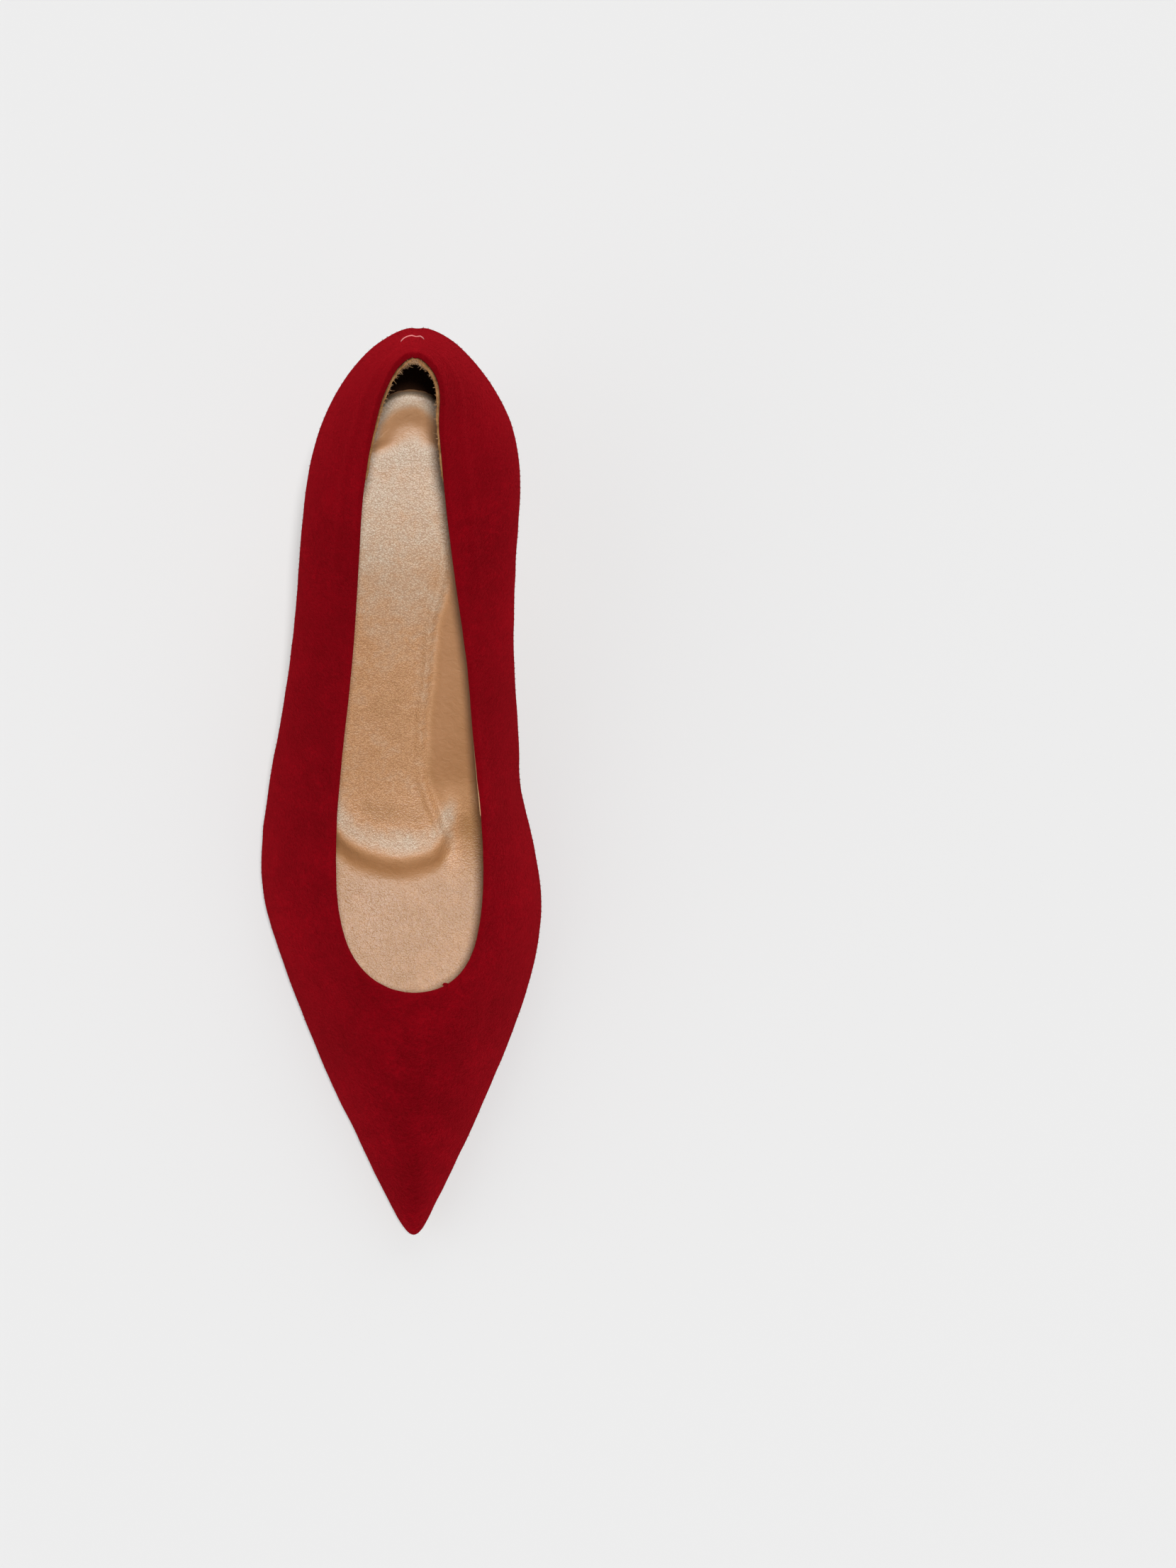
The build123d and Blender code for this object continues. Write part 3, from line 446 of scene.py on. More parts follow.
def mixc(nt, fac, a, b, mode="MIX"):
    n = nt.nodes.new("ShaderNodeMix")
    n.data_type = "RGBA"
    n.blend_type = mode
    n.clamp_factor = True
    if isinstance(fac, (int, float)):
        n.inputs[0].default_value = float(fac)
    else:
        nt.links.new(fac, n.inputs[0])
    for i, v in ((6, a), (7, b)):
        if isinstance(v, tuple):
            n.inputs[i].default_value = (*v, 1)
        else:
            nt.links.new(v, n.inputs[i])
    return n.outputs[2]


def attr(nt, name):
    n = nt.nodes.new("ShaderNodeAttribute")
    n.attribute_name = name
    return n.outputs["Fac"]


def bump(nt, height, dist, strength=1.0, chain=None):
    n = nt.nodes.new("ShaderNodeBump")
    n.inputs["Strength"].default_value = strength
    n.inputs["Distance"].default_value = dist
    nt.links.new(height, n.inputs["Height"])
    if chain is not None:
        nt.links.new(chain, n.inputs["Normal"])
    return n.outputs["Normal"]


def maprange(nt, v, a, b, c, d):
    n = nt.nodes.new("ShaderNodeMapRange")
    nt.links.new(v, n.inputs[0])
    for i, q in enumerate((a, b, c, d)):
        n.inputs[i + 1].default_value = q
    return n.outputs[0]


def srgb(r, g, b):
    f = lambda c: c / 12.92 if c <= 0.04045 else ((c + 0.055) / 1.055) ** 2.4
    return tuple(f(v / 255) for v in (r, g, b))


def suede(name, dark, mid, light, patch=1.0):
    """Napped suede: faint brushed patches, a fine speckled pile and a red sheen at grazing angles."""
    m = bpy.data.materials.new(name)
    nt, b = nodes_of(m)
    co = coords(nt)
    cloud = noise(nt, co, 48.0, 3.0, 0.5, 0.2)
    brushed = noise(nt, co, 210.0, 4.0, 0.6, 0.4)
    fine = noise(nt, co, 1050.0, 4.0, 0.72, 0.2)
    pile = noise(nt, co, 3600.0, 3.0, 0.8)
    a = math_(nt, "MULTIPLY", cloud, 0.26 * patch)
    a = math_(nt, "MULTIPLY_ADD", brushed, 0.22 * patch, a)
    a = math_(nt, "MULTIPLY_ADD", fine, 0.34, a)
    a = math_(nt, "MULTIPLY_ADD", pile, 0.30, a)
    a = maprange(nt, a, 0.46, 0.66, 0.0, 1.0)
    col = ramp(nt, a, [(0.0, dark), (0.5, mid), (1.0, light)])
    # painted highlight: the per-point attribute lifts the red towards the light tone, besides a random nap tone
    lift = attr(nt, "nap_and_painted_highlight")
    col = mixc(nt, lift, col, light)
    nt.links.new(col, b.inputs["Base Color"])
    r = maprange(nt, pile, 0.3, 0.7, 0.88, 1.0)
    nt.links.new(r, b.inputs["Roughness"])
    b.inputs["Specular IOR Level"].default_value = 0.0
    b.inputs["Sheen Weight"].default_value = 0.68
    b.inputs["Sheen Roughness"].default_value = 0.5
    b.inputs["Sheen Tint"].default_value = (1.0, 0.028, 0.044, 1)
    n1 = bump(nt, pile, 0.0004, 1.0)
    n2 = bump(nt, fine, 0.0007, 1.0, n1)
    n3 = bump(nt, brushed, 0.0007, 0.3, n2)
    nt.links.new(n3, b.inputs["Normal"])
    return m


def foil_leather():
    """Pearlised champagne nappa: tan leather under a whitish gloss, finely pebbled; smoother, matter and painted
    darker (painted shade) in the footbed's drops and hollows, and painted whiter (painted highlight) on its crests and
    heel seat."""
    m = bpy.data.materials.new("metallic_nappa")
    nt, b = nodes_of(m)
    co = coords(nt)
    cells = voro(nt, co, 2100.0, "SMOOTH_F1", 0.5)
    cells2 = voro(nt, co, 4300.0, "SMOOTH_F1", 0.5)
    wr = noise(nt, co, 1300.0, 3.0, 0.6, 1.2)
    cloud = noise(nt, co, 60.0, 3.0, 0.55, 0.4)
    crease = noise(nt, co, 320.0, 3.0, 0.55, 1.4)
    smooth_and_shade_fac = attr(nt, "smooth")
    grain = math_(nt, "MULTIPLY", cells, 0.9)
    grain = math_(nt, "MULTIPLY_ADD", cells2, 0.35, grain)
    grain = math_(nt, "MULTIPLY_ADD", wr, 0.5, grain)
    keep_ = math_(nt, "SUBTRACT", 1.0, smooth_and_shade_fac, clamp=True)
    g = math_(nt, "MULTIPLY", grain, math_(nt, "MULTIPLY_ADD", keep_, 0.88, 0.12))
    wear = noise(nt, co, 240.0, 4.0, 0.6, 0.8)
    # painted highlight: the attribute pushes the tone towards whitish champagne
    tone = math_(nt, "ADD", maprange(nt, cloud, 0.3, 0.7, -0.08, 0.08), attr(nt, "painted_highlight_and_tone"))
    tone = math_(nt, "ADD", maprange(nt, wear, 0.3, 0.7, -0.13, 0.13), tone)
    base = ramp(nt, tone, [(0.0, (0.395, 0.208, 0.066)), (0.5, (0.64, 0.355, 0.165)), (1.0, (0.655, 0.545, 0.40))])
    pits = maprange(nt, grain, 0.5, 1.0, 0.0, 0.55)
    pits = math_(nt, "MULTIPLY", pits, keep_)
    base = mixc(nt, pits, base, (0.30, 0.115, 0.036))
    # painted shade: mixed darker where the smooth attribute is set
    base = mixc(nt, math_(nt, "MULTIPLY", smooth_and_shade_fac, 0.7), base, (0.37, 0.155, 0.052))
    nt.links.new(base, b.inputs["Base Color"])
    b.inputs["Metallic"].default_value = 0.0
    r = maprange(nt, math_(nt, "MULTIPLY_ADD", smooth_and_shade_fac, 0.6, cloud), 0.2, 1.2, 0.50, 0.64)
    nt.links.new(r, b.inputs["Roughness"])
    b.inputs["IOR"].default_value = 1.60
    b.inputs["Specular IOR Level"].default_value = 1.0
    n1 = bump(nt, g, 0.00013, 1.0)
    n2 = bump(nt, crease, 0.0003, 0.7, n1)
    nt.links.new(n2, b.inputs["Normal"])
    return m


def plain_leather(name, c0, c1, rough=0.5, grain=700.0, depth=0.00012):
    m = bpy.data.materials.new(name)
    nt, b = nodes_of(m)
    co = coords(nt)
    a = noise(nt, co, 90.0, 4.0, 0.6)
    col = ramp(nt, a, [(0.3, c0), (0.7, c1)])
    v = voro(nt, co, grain, "F1")
    w = noise(nt, co, grain * 1.7, 3.0, 0.6)
    h = math_(nt, "MULTIPLY_ADD", w, 0.5, v)
    col = mixc(nt, maprange(nt, v, 0.35, 0.8, 0.0, 0.35), col, tuple(q * 0.55 for q in c0))
    nt.links.new(col, b.inputs["Base Color"])
    r = maprange(nt, w, 0.3, 0.7, rough - 0.06, rough + 0.08)
    nt.links.new(r, b.inputs["Roughness"])
    b.inputs["Specular IOR Level"].default_value = 0.4
    nt.links.new(bump(nt, h, depth, 0.8), b.inputs["Normal"])
    return m


def fibrous(name, c0, c1, scale=1500.0, rough=0.95, depth=0.0004, sheen=0.3):
    m = bpy.data.materials.new(name)
    nt, b = nodes_of(m)
    co = coords(nt)
    a = noise(nt, co, scale, 4.0, 0.75, 1.5)
    c = noise(nt, co, scale * 0.22, 3.0, 0.6)
    f = math_(nt, "MULTIPLY_ADD", c, 0.5, math_(nt, "MULTIPLY", a, 0.6))
    col = ramp(nt, f, [(0.38, c0), (0.68, c1)])
    nt.links.new(col, b.inputs["Base Color"])
    r = maprange(nt, a, 0.3, 0.7, rough - 0.1, min(1.0, rough + 0.05))
    nt.links.new(r, b.inputs["Roughness"])
    b.inputs["Specular IOR Level"].default_value = 0.15
    b.inputs["Sheen Weight"].default_value = sheen
    b.inputs["Sheen Roughness"].default_value = 0.5
    nt.links.new(bump(nt, a, depth, 0.9), b.inputs["Normal"])
    return m


def grip_suede():
    """Rough suede of the heel grip: tan at its raw edge, taken to dark brown further down the inside as painted shade.
    """
    m = fibrous("rough_suede_tan", srgb(132, 84, 46), srgb(204, 152, 98), 1700.0, 0.95, 0.0006, 0.0)
    nt = m.node_tree
    b = next(n for n in nt.nodes if n.type == "BSDF_PRINCIPLED")
    col = b.inputs["Base Color"].links[0].from_socket
    # painted shade: mixed to dark brown with depth below the topline
    nt.links.new(mixc(nt, attr(nt, "painted_depth_shade"), col, srgb(58, 34, 20)), b.inputs["Base Color"])
    return m


def woven(name, c0, c1, scale=1400.0):
    m = bpy.data.materials.new(name)
    nt, b = nodes_of(m)
    co = coords(nt)
    w1 = N_(nt, "ShaderNodeTexWave", Scale=scale * 0.32, Distortion=0.4)
    w1.bands_direction = "DIAGONAL"
    w2 = N_(nt, "ShaderNodeTexWave", Scale=scale * 0.32, Distortion=0.4)
    w2.bands_direction = "Y"
    nt.links.new(co, w1.inputs["Vector"])
    nt.links.new(co, w2.inputs["Vector"])
    h = math_(nt, "MULTIPLY", w1.outputs["Fac"], w2.outputs["Fac"])
    n = noise(nt, co, scale, 2.0, 0.6)
    h = math_(nt, "MULTIPLY_ADD", n, 0.3, h)
    nt.links.new(ramp(nt, h, [(0.1, c0), (0.8, c1)]), b.inputs["Base Color"])
    nt.links.new(maprange(nt, h, 0.0, 1.0, 0.85, 0.95), b.inputs["Roughness"])
    nt.links.new(bump(nt, h, 0.0002, 0.7), b.inputs["Normal"])
    return m


def steel(name, tone=0.55, rough=0.32):
    m = bpy.data.materials.new(name)
    nt, b = nodes_of(m)
    co = coords(nt)
    mp = N_(nt, "ShaderNodeMapping")
    mp.inputs["Scale"].default_value = (1, 0.04, 0.3)
    nt.links.new(co, mp.inputs["Vector"])
    s = noise(nt, mp.outputs["Vector"], 2600.0, 3.0, 0.6)
    nt.links.new(ramp(nt, s, [(0.3, (tone * 0.85,) * 3), (0.7, (tone * 1.1, tone * 1.1, tone * 1.12))]), b.inputs["Base Color"])
    nt.links.new(maprange(nt, s, 0.3, 0.7, rough, rough + 0.15), b.inputs["Roughness"])
    b.inputs["Metallic"].default_value = 1.0
    nt.links.new(bump(nt, s, 0.00003, 0.5), b.inputs["Normal"])
    return m


def hard(name, c0, c1, rough=0.45, scale=400.0, depth=0.00005, spec=0.4):
    m = bpy.data.materials.new(name)
    nt, b = nodes_of(m)
    co = coords(nt)
    a = noise(nt, co, scale, 4.0, 0.6)
    nt.links.new(ramp(nt, a, [(0.3, c0), (0.7, c1)]), b.inputs["Base Color"])
    nt.links.new(maprange(nt, a, 0.3, 0.7, rough - 0.05, rough + 0.08), b.inputs["Roughness"])
    b.inputs["Specular IOR Level"].default_value = spec
    nt.links.new(bump(nt, a, depth, 0.7), b.inputs["Normal"])
    return m


SUEDE = suede("suede_red", srgb(82, 0, 4), srgb(100, 0, 9), srgb(131, 2, 15))
SUEDE_HEEL = suede("suede_red_heel", srgb(82, 0, 4), srgb(100, 0, 9), srgb(131, 2, 15), 0.9)
FOIL = foil_leather()
GRIP = grip_suede()
FRAY = fibrous("grip_fibres", srgb(130, 88, 52), srgb(205, 160, 110), 3000.0, 0.9, 0.0001, 0.3)
LINING = plain_leather("lining_leather", srgb(182, 138, 96), srgb(206, 164, 122), 0.5, 900.0, 0.00010)
OUTSOLE = plain_leather("sole_leather", srgb(176, 132, 92), srgb(202, 160, 118), 0.42, 420.0, 0.00008)
LIFT = hard("lift_rubber", (0.012, 0.010, 0.010), (0.03, 0.026, 0.024), 0.6, 900.0, 0.00006, 0.35)
PINK = fibrous("pink_thread", srgb(206, 104, 104), srgb(232, 140, 138), 2600.0, 0.7, 0.0001, 0.2)
TAPE = woven("woven_tape", srgb(198, 186, 166), srgb(232, 224, 208))
BOARD = fibrous("fibre_board", srgb(168, 140, 104), srgb(198, 172, 134), 900.0, 0.85, 0.0001, 0.0)
FOAM = hard("foam", srgb(222, 216, 200), srgb(240, 236, 226), 0.9, 1800.0, 0.0002, 0.2)
CORK = fibrous("cork", srgb(110, 78, 48), srgb(168, 126, 84), 420.0, 0.9, 0.0004, 0.0)
STEEL = steel("shank_steel", 0.42, 0.34)
PLATED = steel("plated_steel", 0.6, 0.25)
HEELABS = hard("heel_abs", srgb(214, 208, 196), srgb(228, 222, 210), 0.4, 120.0, 0.00004)


def finish_piece(ob, mat, slot, *nodes, subd=0):
    ob.data.materials.clear()
    ob.data.materials.append(mat)
    if subd:
        s = ob.modifiers.new("Subdivision", "SUBSURF")
        s.levels = subd
        s.render_levels = subd
    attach(ob, "root")
    if nodes:
        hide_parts(*nodes)
    return ob


# ================================================================ suede upper
G = build_grid(nv=97, smin=0.45, grow=0.045, smax=1.5)
NV = 97
P0 = G["P"]
NRM = grid_normals(P0, G["S"], G["total"])
LEN = G["LEN"]
TIP = G["i_tip"]
NC = len(P0)
SS, TOT = G["S"], G["total"]
back_d = np.minimum(SS, TOT - SS)             # distance round the shoe from the back seam
tip_d = np.abs(SS - SS[TIP])
D_TOP = (1 - np.linspace(0, 1, NV))[None, :] * LEN[:, None]      # mm below the topline, along the surface
Y0 = P0[..., 1]

# relief of the outside: rolled topline, the raised band of the fold, back seam, brushed unevenness
relief = np.zeros((NC, NV))
edge_l = 7.6 + 0.7 * vnoise(np.stack([SS, SS * 0, SS * 0], -1), 14.0, 3)[:, None]
fold_fade = ((0.12 + 0.88 * step01(P0[:, -1, 1], 40, 85)) * (1 - 0.75 * bump01(back_d, 0, 4.0)))[:, None]
relief += 0.24 * fold_fade * (1 - step01(D_TOP, edge_l - 1.0, edge_l + 1.4))
relief += 0.10 * fold_fade * bump01(D_TOP, edge_l - 0.8, 1.0)
relief -= 0.10 * fold_fade * bump01(D_TOP, 3.8, 1.6)
seam = bump01(back_d, 0, 0.55)[:, None] * np.ones((1, NV))
relief -= 0.42 * seam * (1 - step01(D_TOP, LEN[0] - 4, LEN[0]))
relief += 0.14 * bump01(back_d, 2.2, 0.8)[:, None] * (1 - 0.5 * step01(D_TOP, 3, 8))
relief += 0.17 * vnoise(P0, 15.0, 5, 2) + 0.07 * vnoise(P0, 4.2, 9, 2)
# soft pull creases in the vamp either side of the throat
relief += 0.12 * vnoise(P0 * np.array([1.0, 0.35, 1.0]), 6.5, 21) * bump01(Y0, -52, 16)
relief *= step01(np.linspace(0, 1, NV) * LEN[:, None], 0, 4)
OUT = P0 + NRM * relief[..., None]

# rounded topline: the suede turns over the tape, in three steps, and goes down inside
th = 1.9
top, nr = OUT[:, -1], NRM[:, -1]
up = OUT[:, -1] - OUT[:, -3]
up /= np.linalg.norm(up, axis=1, keepdims=True)
roll = []
for a in (22, 50, 78, 104, 130, 158):
    r = math.radians(a)
    roll.append(top - nr * (th / 2) * (1 - math.cos(r)) + up * (th / 2) * math.sin(r) * 1.0)
roll = np.stack(roll, 1)
inner_all = layer(G, NRM, th, win=0)
n_in = 9
inner = inner_all[:, ::-1][:, 1:1 + n_in]
UP_IN = layer(G, NRM, 0.9, win=2.6)
# lower edge turned in under the foot
zF = z_bottom(G["F"][:, 1]) + FEATHER
spine_y = np.clip(G["F"][:, 1] * 0.93, -111, 106)
spine = np.stack([mid_x(spine_y), spine_y], -1)
dirv = spine - G["F"]
dist = np.hypot(*dirv.T)
dirv /= dist[:, None]
mlen = np.minimum(5.0, 0.3 * dist)


def flange(k, dz):
    q = G["F"] + dirv * (mlen * k)[:, None]
    return np.hstack([q, (z_bottom(q[:, 1]) + FEATHER + dz)[:, None]])


# one closed loop of points per column: up the outside, over the topline, down inside, back along the inside of the suede
low_in = UP_IN[:, ::-1]
keep_rows = np.unique(np.linspace(12, NV - 1, 30).astype(int))
rows = [OUT[:, j] for j in range(NV)] + [roll[:, k] for k in range(roll.shape[1])] + [inner[:, k] for k in range(n_in)]
rows += [low_in[:, j] for j in keep_rows if j < NV - 3]
rows += [flange(0.35, 1.0), flange(1.0, 1.0), flange(1.0, 0.5), flange(1.0, 0.04), flange(0.55, 0.04), flange(0.15, 0.03)]
U = np.stack(rows, 1)
m_rows = U.shape[1]
faces = ring_faces(NC, m_rows, True, True)
nap_and_painted_highlight = np.zeros((NC, m_rows))
# painted highlight: the suede is lighter along the topline roll, the fold's ridge and towards the back, over a random
# nap tone
nv_nap_and_highlight = 0.16 * (1 - step01(D_TOP, 0.0, 2.2)) + 0.12 * fold_fade * bump01(D_TOP, edge_l - 0.4, 1.1) + \
    0.42 * step01(Y0, 60, 126) + 0.10 * step01(Y0, -60, 40) + 0.02
nv_nap_and_highlight += 0.20 * vnoise(P0, 24.0, 33, 3, 0.6)
nap_and_painted_highlight[:, :NV] = np.clip(nv_nap_and_highlight, 0, 1)
# painted highlight: the topline roll rows are lifted lighter
nap_and_painted_highlight[:, NV:NV + 6] = np.clip(0.35 + 0 * roll[..., 0], 0, 1)
upper = new_mesh("suede_upper", U, faces, attrs={"nap_and_painted_highlight": nap_and_painted_highlight})
finish_piece(upper, SUEDE, "suede_upper", "upper", "topline_tape", subd=1)

# small tuft of nap at the throat, inner side
def blob(name, c, r, seg=18, seed=1, squash=(1, 1, 1), amp=0.25):
    u = np.linspace(0, 2 * np.pi, seg, endpoint=False)
    w = np.linspace(0, np.pi, seg // 2 + 1)[1:-1]
    V = [np.array([0, 0, 1.0])]
    for q in w:
        for t in u:
            V.append(np.array([math.sin(q) * math.cos(t), math.sin(q) * math.sin(t), math.cos(q)]))
    V.append(np.array([0, 0, -1.0]))
    V = np.array(V)
    rad = 1 + amp * vnoise(V * 3.0, 1.3, seed, 2)
    V = V * rad[:, None] * r * np.array(squash) + np.array(c)
    F = []
    k = len(w)
    for t in range(seg):
        F.append((0, 1 + t, 1 + (t + 1) % seg))
        F.append((len(V) - 1, 1 + (k - 1) * seg + (t + 1) % seg, 1 + (k - 1) * seg + t))
    for q in range(k - 1):
        for t in range(seg):
            a = 1 + q * seg + t
            b_ = 1 + q * seg + (t + 1) % seg
            F.append((a, a + seg, b_ + seg, b_))
    return new_mesh(name, V, F, attrs={"nap_and_painted_highlight": np.full(len(V), 0.2)})


# a tuft of nap left at the throat, where the folded edge was trimmed
i_tuft = int(np.argmin(np.hypot(OUT[:, -1, 0] - 13.1, OUT[:, -1, 1] + 54.2)))
tuft = blob("throat_tuft", roll[i_tuft, 2] + np.array([-0.15, 0.25, 0.05]), 0.55, 14, 3, (1.5, 0.9, 0.8), 0.35)
tuft.data.materials.append(SUEDE)
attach(tuft, "root")

# ================================================================ inner layers
def band_shell(name, d0, d1, sel, mat, slot, nodes, top_gap=0.35, wobble=0.0, seed=2, extra_top=0.0, low=None, subd=1, side_thick=False):
    """Thin closed shell between depths d0 and d1 for the columns in sel (a run), from the boards to the topline."""
    A, B = layer(G, NRM, d0), layer(G, NRM, d1)
    nvv = 34
    idx = sel
    out, painted_depth_shade = [], []
    for i in idx:
        h = A[i, :, 2] - z_bottom(A[i, :, 1])
        k = max(int(np.argmax(h >= 6.2)), 1)
        fa = (k - 1 + np.clip((6.2 - h[k - 1]) / (h[k] - h[k - 1]), 0, 1)) / (NV - 1)
        t_end = 1 - top_gap / LEN[i]
        f = fa + (t_end - fa) * np.linspace(0, 1, nvv)
        v = np.linspace(0, 1, NV)
        a = np.stack([np.interp(f, v, A[i, :, c]) for c in range(3)], -1)
        b = np.stack([np.interp(f, v, B[i, :, c]) for c in range(3)], -1)
        if side_thick:
            sgn = 1.0 if i >= TIP else 0.62
            kk = 0.55 + (sgn - 0.55) * float(step01(back_d[i], 3, 10))
            b = a + (b - a) * kk
        if extra_top or wobble:
            upv = (A[i, -1] - A[i, -3]); upv /= np.linalg.norm(upv)
            e = (extra_top * (0.10 + 0.90 * float(step01(back_d[i], 3, 9))) if side_thick else extra_top) + wobble * float(vnoise(np.array([SS[i], 0.0, 0.0]), 0.9, seed, 3, 0.7))
            wgt = np.linspace(0, 1, nvv) ** 8
            a = a + upv * (e * wgt)[:, None]
            b = b + upv * ((e + 0.25 * wobble * float(vnoise(np.array([SS[i], 5.0, 0.0]), 0.7, seed + 1))) * wgt)[:, None]
        out.append(np.vstack([a, b[::-1]]))
        # painted shade: factor rising with depth below the topline, darkening the grip
        dd = step01((1 - f) * LEN[i], 0.05, 0.95)
        painted_depth_shade.append(np.concatenate([dd, dd[::-1]]))
    out = np.array(out)
    n, mm = out.shape[:2]
    closed = n == NC
    F = [tuple(f) for f in ring_faces(n, mm, closed, True)]
    if not closed:
        for e, fl in ((0, False), (n - 1, True)):
            for j in range(nvv - 1):
                q = (e * mm + j, e * mm + j + 1, e * mm + mm - 2 - j, e * mm + mm - 1 - j)
                F.append(q if not fl else q[::-1])
    ob = new_mesh(name, out, F, attrs={"painted_depth_shade": np.array(painted_depth_shade)})
    return finish_piece(ob, mat, slot, *nodes, subd=subd)


Ytop_all = P0[:, -1, 1]
YO = G["O"][:, 1]
lat = np.arange(0, TIP + 1)
med = np.arange(TIP, NC)
i_lat_grip = lat[YO[lat] >= 84.0]
i_med_grip = med[YO[med] >= 84.0]
grip_idx = np.concatenate([i_med_grip, i_lat_grip])
band_shell("heel_grip_suede", 1.95, 3.05, list(grip_idx), GRIP, "rough_suede", ["heel_grip"], top_gap=0.0, wobble=0.45, extra_top=0.8, seed=4, subd=1, side_thick=True)
lat_q = lat[(YO[lat] < 84.0) & (YO[lat] > -8)]
med_q = med[(YO[med] < 84.0) & (YO[med] > -8)]
lat_q = np.concatenate([[lat_q[0] - 1], lat_q])
med_q = np.concatenate([med_q, [med_q[-1] + 1]])
band_shell("lining_outer_side", 1.95, 2.62, list(lat_q), LINING, "lining_leather", ["quarter_lining_outer"], top_gap=0.25)
band_shell("lining_inner_side", 1.95, 2.62, list(med_q), LINING, "lining_leather", ["quarter_lining_inner"], top_gap=0.05, extra_top=0.15)
v_idx = np.concatenate([lat[YO[lat] <= -8], med[1:][YO[med[1:]] <= -8]])
v_idx = np.concatenate([[v_idx[0] - 1], v_idx, [v_idx[-1] + 1]])
band_shell("lining_vamp", 1.95, 2.62, list(v_idx), LINING, "lining_leather", ["vamp_lining"], top_gap=0.5)

# ================================================================ sock, cushion and foam
ROOMQ = layer(G, NRM, 2.72)


def outline_fn(dz):
    """Left and right edge of the room inside the linings at height dz over the sole line, as functions of Y."""
    R = at_height(ROOMQ, dz)
    L = R[:TIP + 1]
    Rr = np.vstack([R[TIP:], R[:1]])
    yl, xl = L[::-1, 1], L[::-1, 0]
    yr, xr = Rr[:, 1], Rr[:, 0]
    # keep each side a function of Y
    def clean(y, x):
        keep_ = [0]
        for i in range(1, len(y)):
            if y[i] > y[keep_[-1]] + 1e-6:
                keep_.append(i)
        return y[keep_], x[keep_]
    yl, xl = clean(yl, xl)
    yr, xr = clean(yr, xr)
    y0, y1 = max(yl[0], yr[0]), min(yl[-1], yr[-1])
    return (lambda y: np.interp(y, yl, xl)), (lambda y: np.interp(y, yr, xr)), float(y0), float(y1)


c_top = mono([-21, -19.2, -17.6, -14.5, -9, -2, 8, 22, 45, 70, 100, 123, 140],
             [8.6, 9.3, 10.2, 11.3, 11.9, 11.8, 11.2, 10.4, 9.9, 9.7, 9.5, 9.9, 10.0])


RX_Y = [-34, -24, -15.7, -5.6, 7.3, 20, 32.7, 46.9, 60, 70.9, 84, 100]
RX_X = [12.5, 13.2, 12.5, 9.3, 5.6, 6.0, 7.75, 9.1, 12.7, 14.1, 17.0, 21.0]
ridge_of = mono(RX_Y, RX_X)
front_of = spline_fn([-34, -24, -18.4, -14.5, -7.9, -0.06, 7.7, 11.6, 13.3, 20, 34], [-8.0, -9.5, -13.7, -17.1, -19.8, -21.0, -19.3, -16.1, -13.0, -9.0, -6.0])
RIM_X, RIM_Y, RIM_A, RIM_B = 4.8, 98.0, 14.2, 15.0        # the heel end of the footbed, an ellipse in plan


def rim_at(X, Y):
    """Distance (mm) in from the rounded heel end of the footbed; large ahead of it."""
    q = np.sqrt(((X - RIM_X) / RIM_A) ** 2 + (np.maximum(Y - RIM_Y, 0) / RIM_B) ** 2)
    return (1 - q) * RIM_B + 40 * (1 - step01(Y, RIM_Y - 14, RIM_Y + 2))


def sock_height(X, Y):
    """Top of the sock over the sole line."""
    base = 8.45
    fr = front_of(X)[..., 0]                           # steepest line of the drop ahead of the ball pad
    long_ = step01(X, 13.0, 18.0)                      # past the corner the drop is a long easy slope
    q = np.clip((Y - fr + 6.0 + 6.5 * long_) / (8.8 + 13.0 * long_), 0, 1) ** (1.5 - 0.3 * long_)
    s = q * q * (3 - 2 * q)                            # 0 under the toes, 1 on the pad
    rx = ridge_of(Y)
    pad_h = 12.2 - 0.9 * step01(Y, 10, 60) - 0.9 * step01(Y, 60, 100)
    crest = 0.55 * bump01(Y, -7.5, 5.5) + 0.25 * bump01(Y, 4, 10)
    pad = base + (pad_h + crest - base) * s
    # beyond the pad's inner edge: a shallow valley, then the sock climbs the inner wall through the arch
    w = np.clip((X - rx) / 17.0, 0, 1.3)
    arch = step01(Y, -6, 26) * (1 - 0.75 * step01(Y, 52, 90))
    drop_ball = 1.3 * bump01(Y, -10.5, 7.5)
    low = pad - 0.45 * (1 - step01(Y, 62, 92)) * s - drop_ball * s + 4.4 * arch * w ** 1.35 + 1.3 * bump01(Y, -8, 10) * w
    low = np.maximum(low, base)
    side = step01(X - rx, -0.6, 3.0) * (1 - step01(Y, 66, 92)) * step01(Y, -27, -13)
    z = pad * (1 - side) + low * side
    welt = 0.80 * bump01(X - rx, 0.1, 0.9) - 0.50 * bump01(X - rx, -2.1, 0.75) - 0.60 * bump01(X - rx, 2.3, 0.8) + 0.16 * bump01(X - rx, 4.6, 1.3)
    z = z + welt * step01(Y, -16, -4) * (1 - step01(Y, 48, 80)) * (1 - 0.7 * bump01(Y, 9.5, 3.0))
    # heel seat: a shallow hollow, then a rounded rim that ends short of the back of the shoe
    d = rim_at(X, Y)
    z = z - 0.5 * bump01(d, 10.5, 3.2) + 1.9 * (1 - step01(d, 3.6, 10.0)) - 5.4 * (1 - step01(d, -0.8, 2.2)) ** 1.3
    return np.where(d < 4, np.maximum(z, 8.5), z)


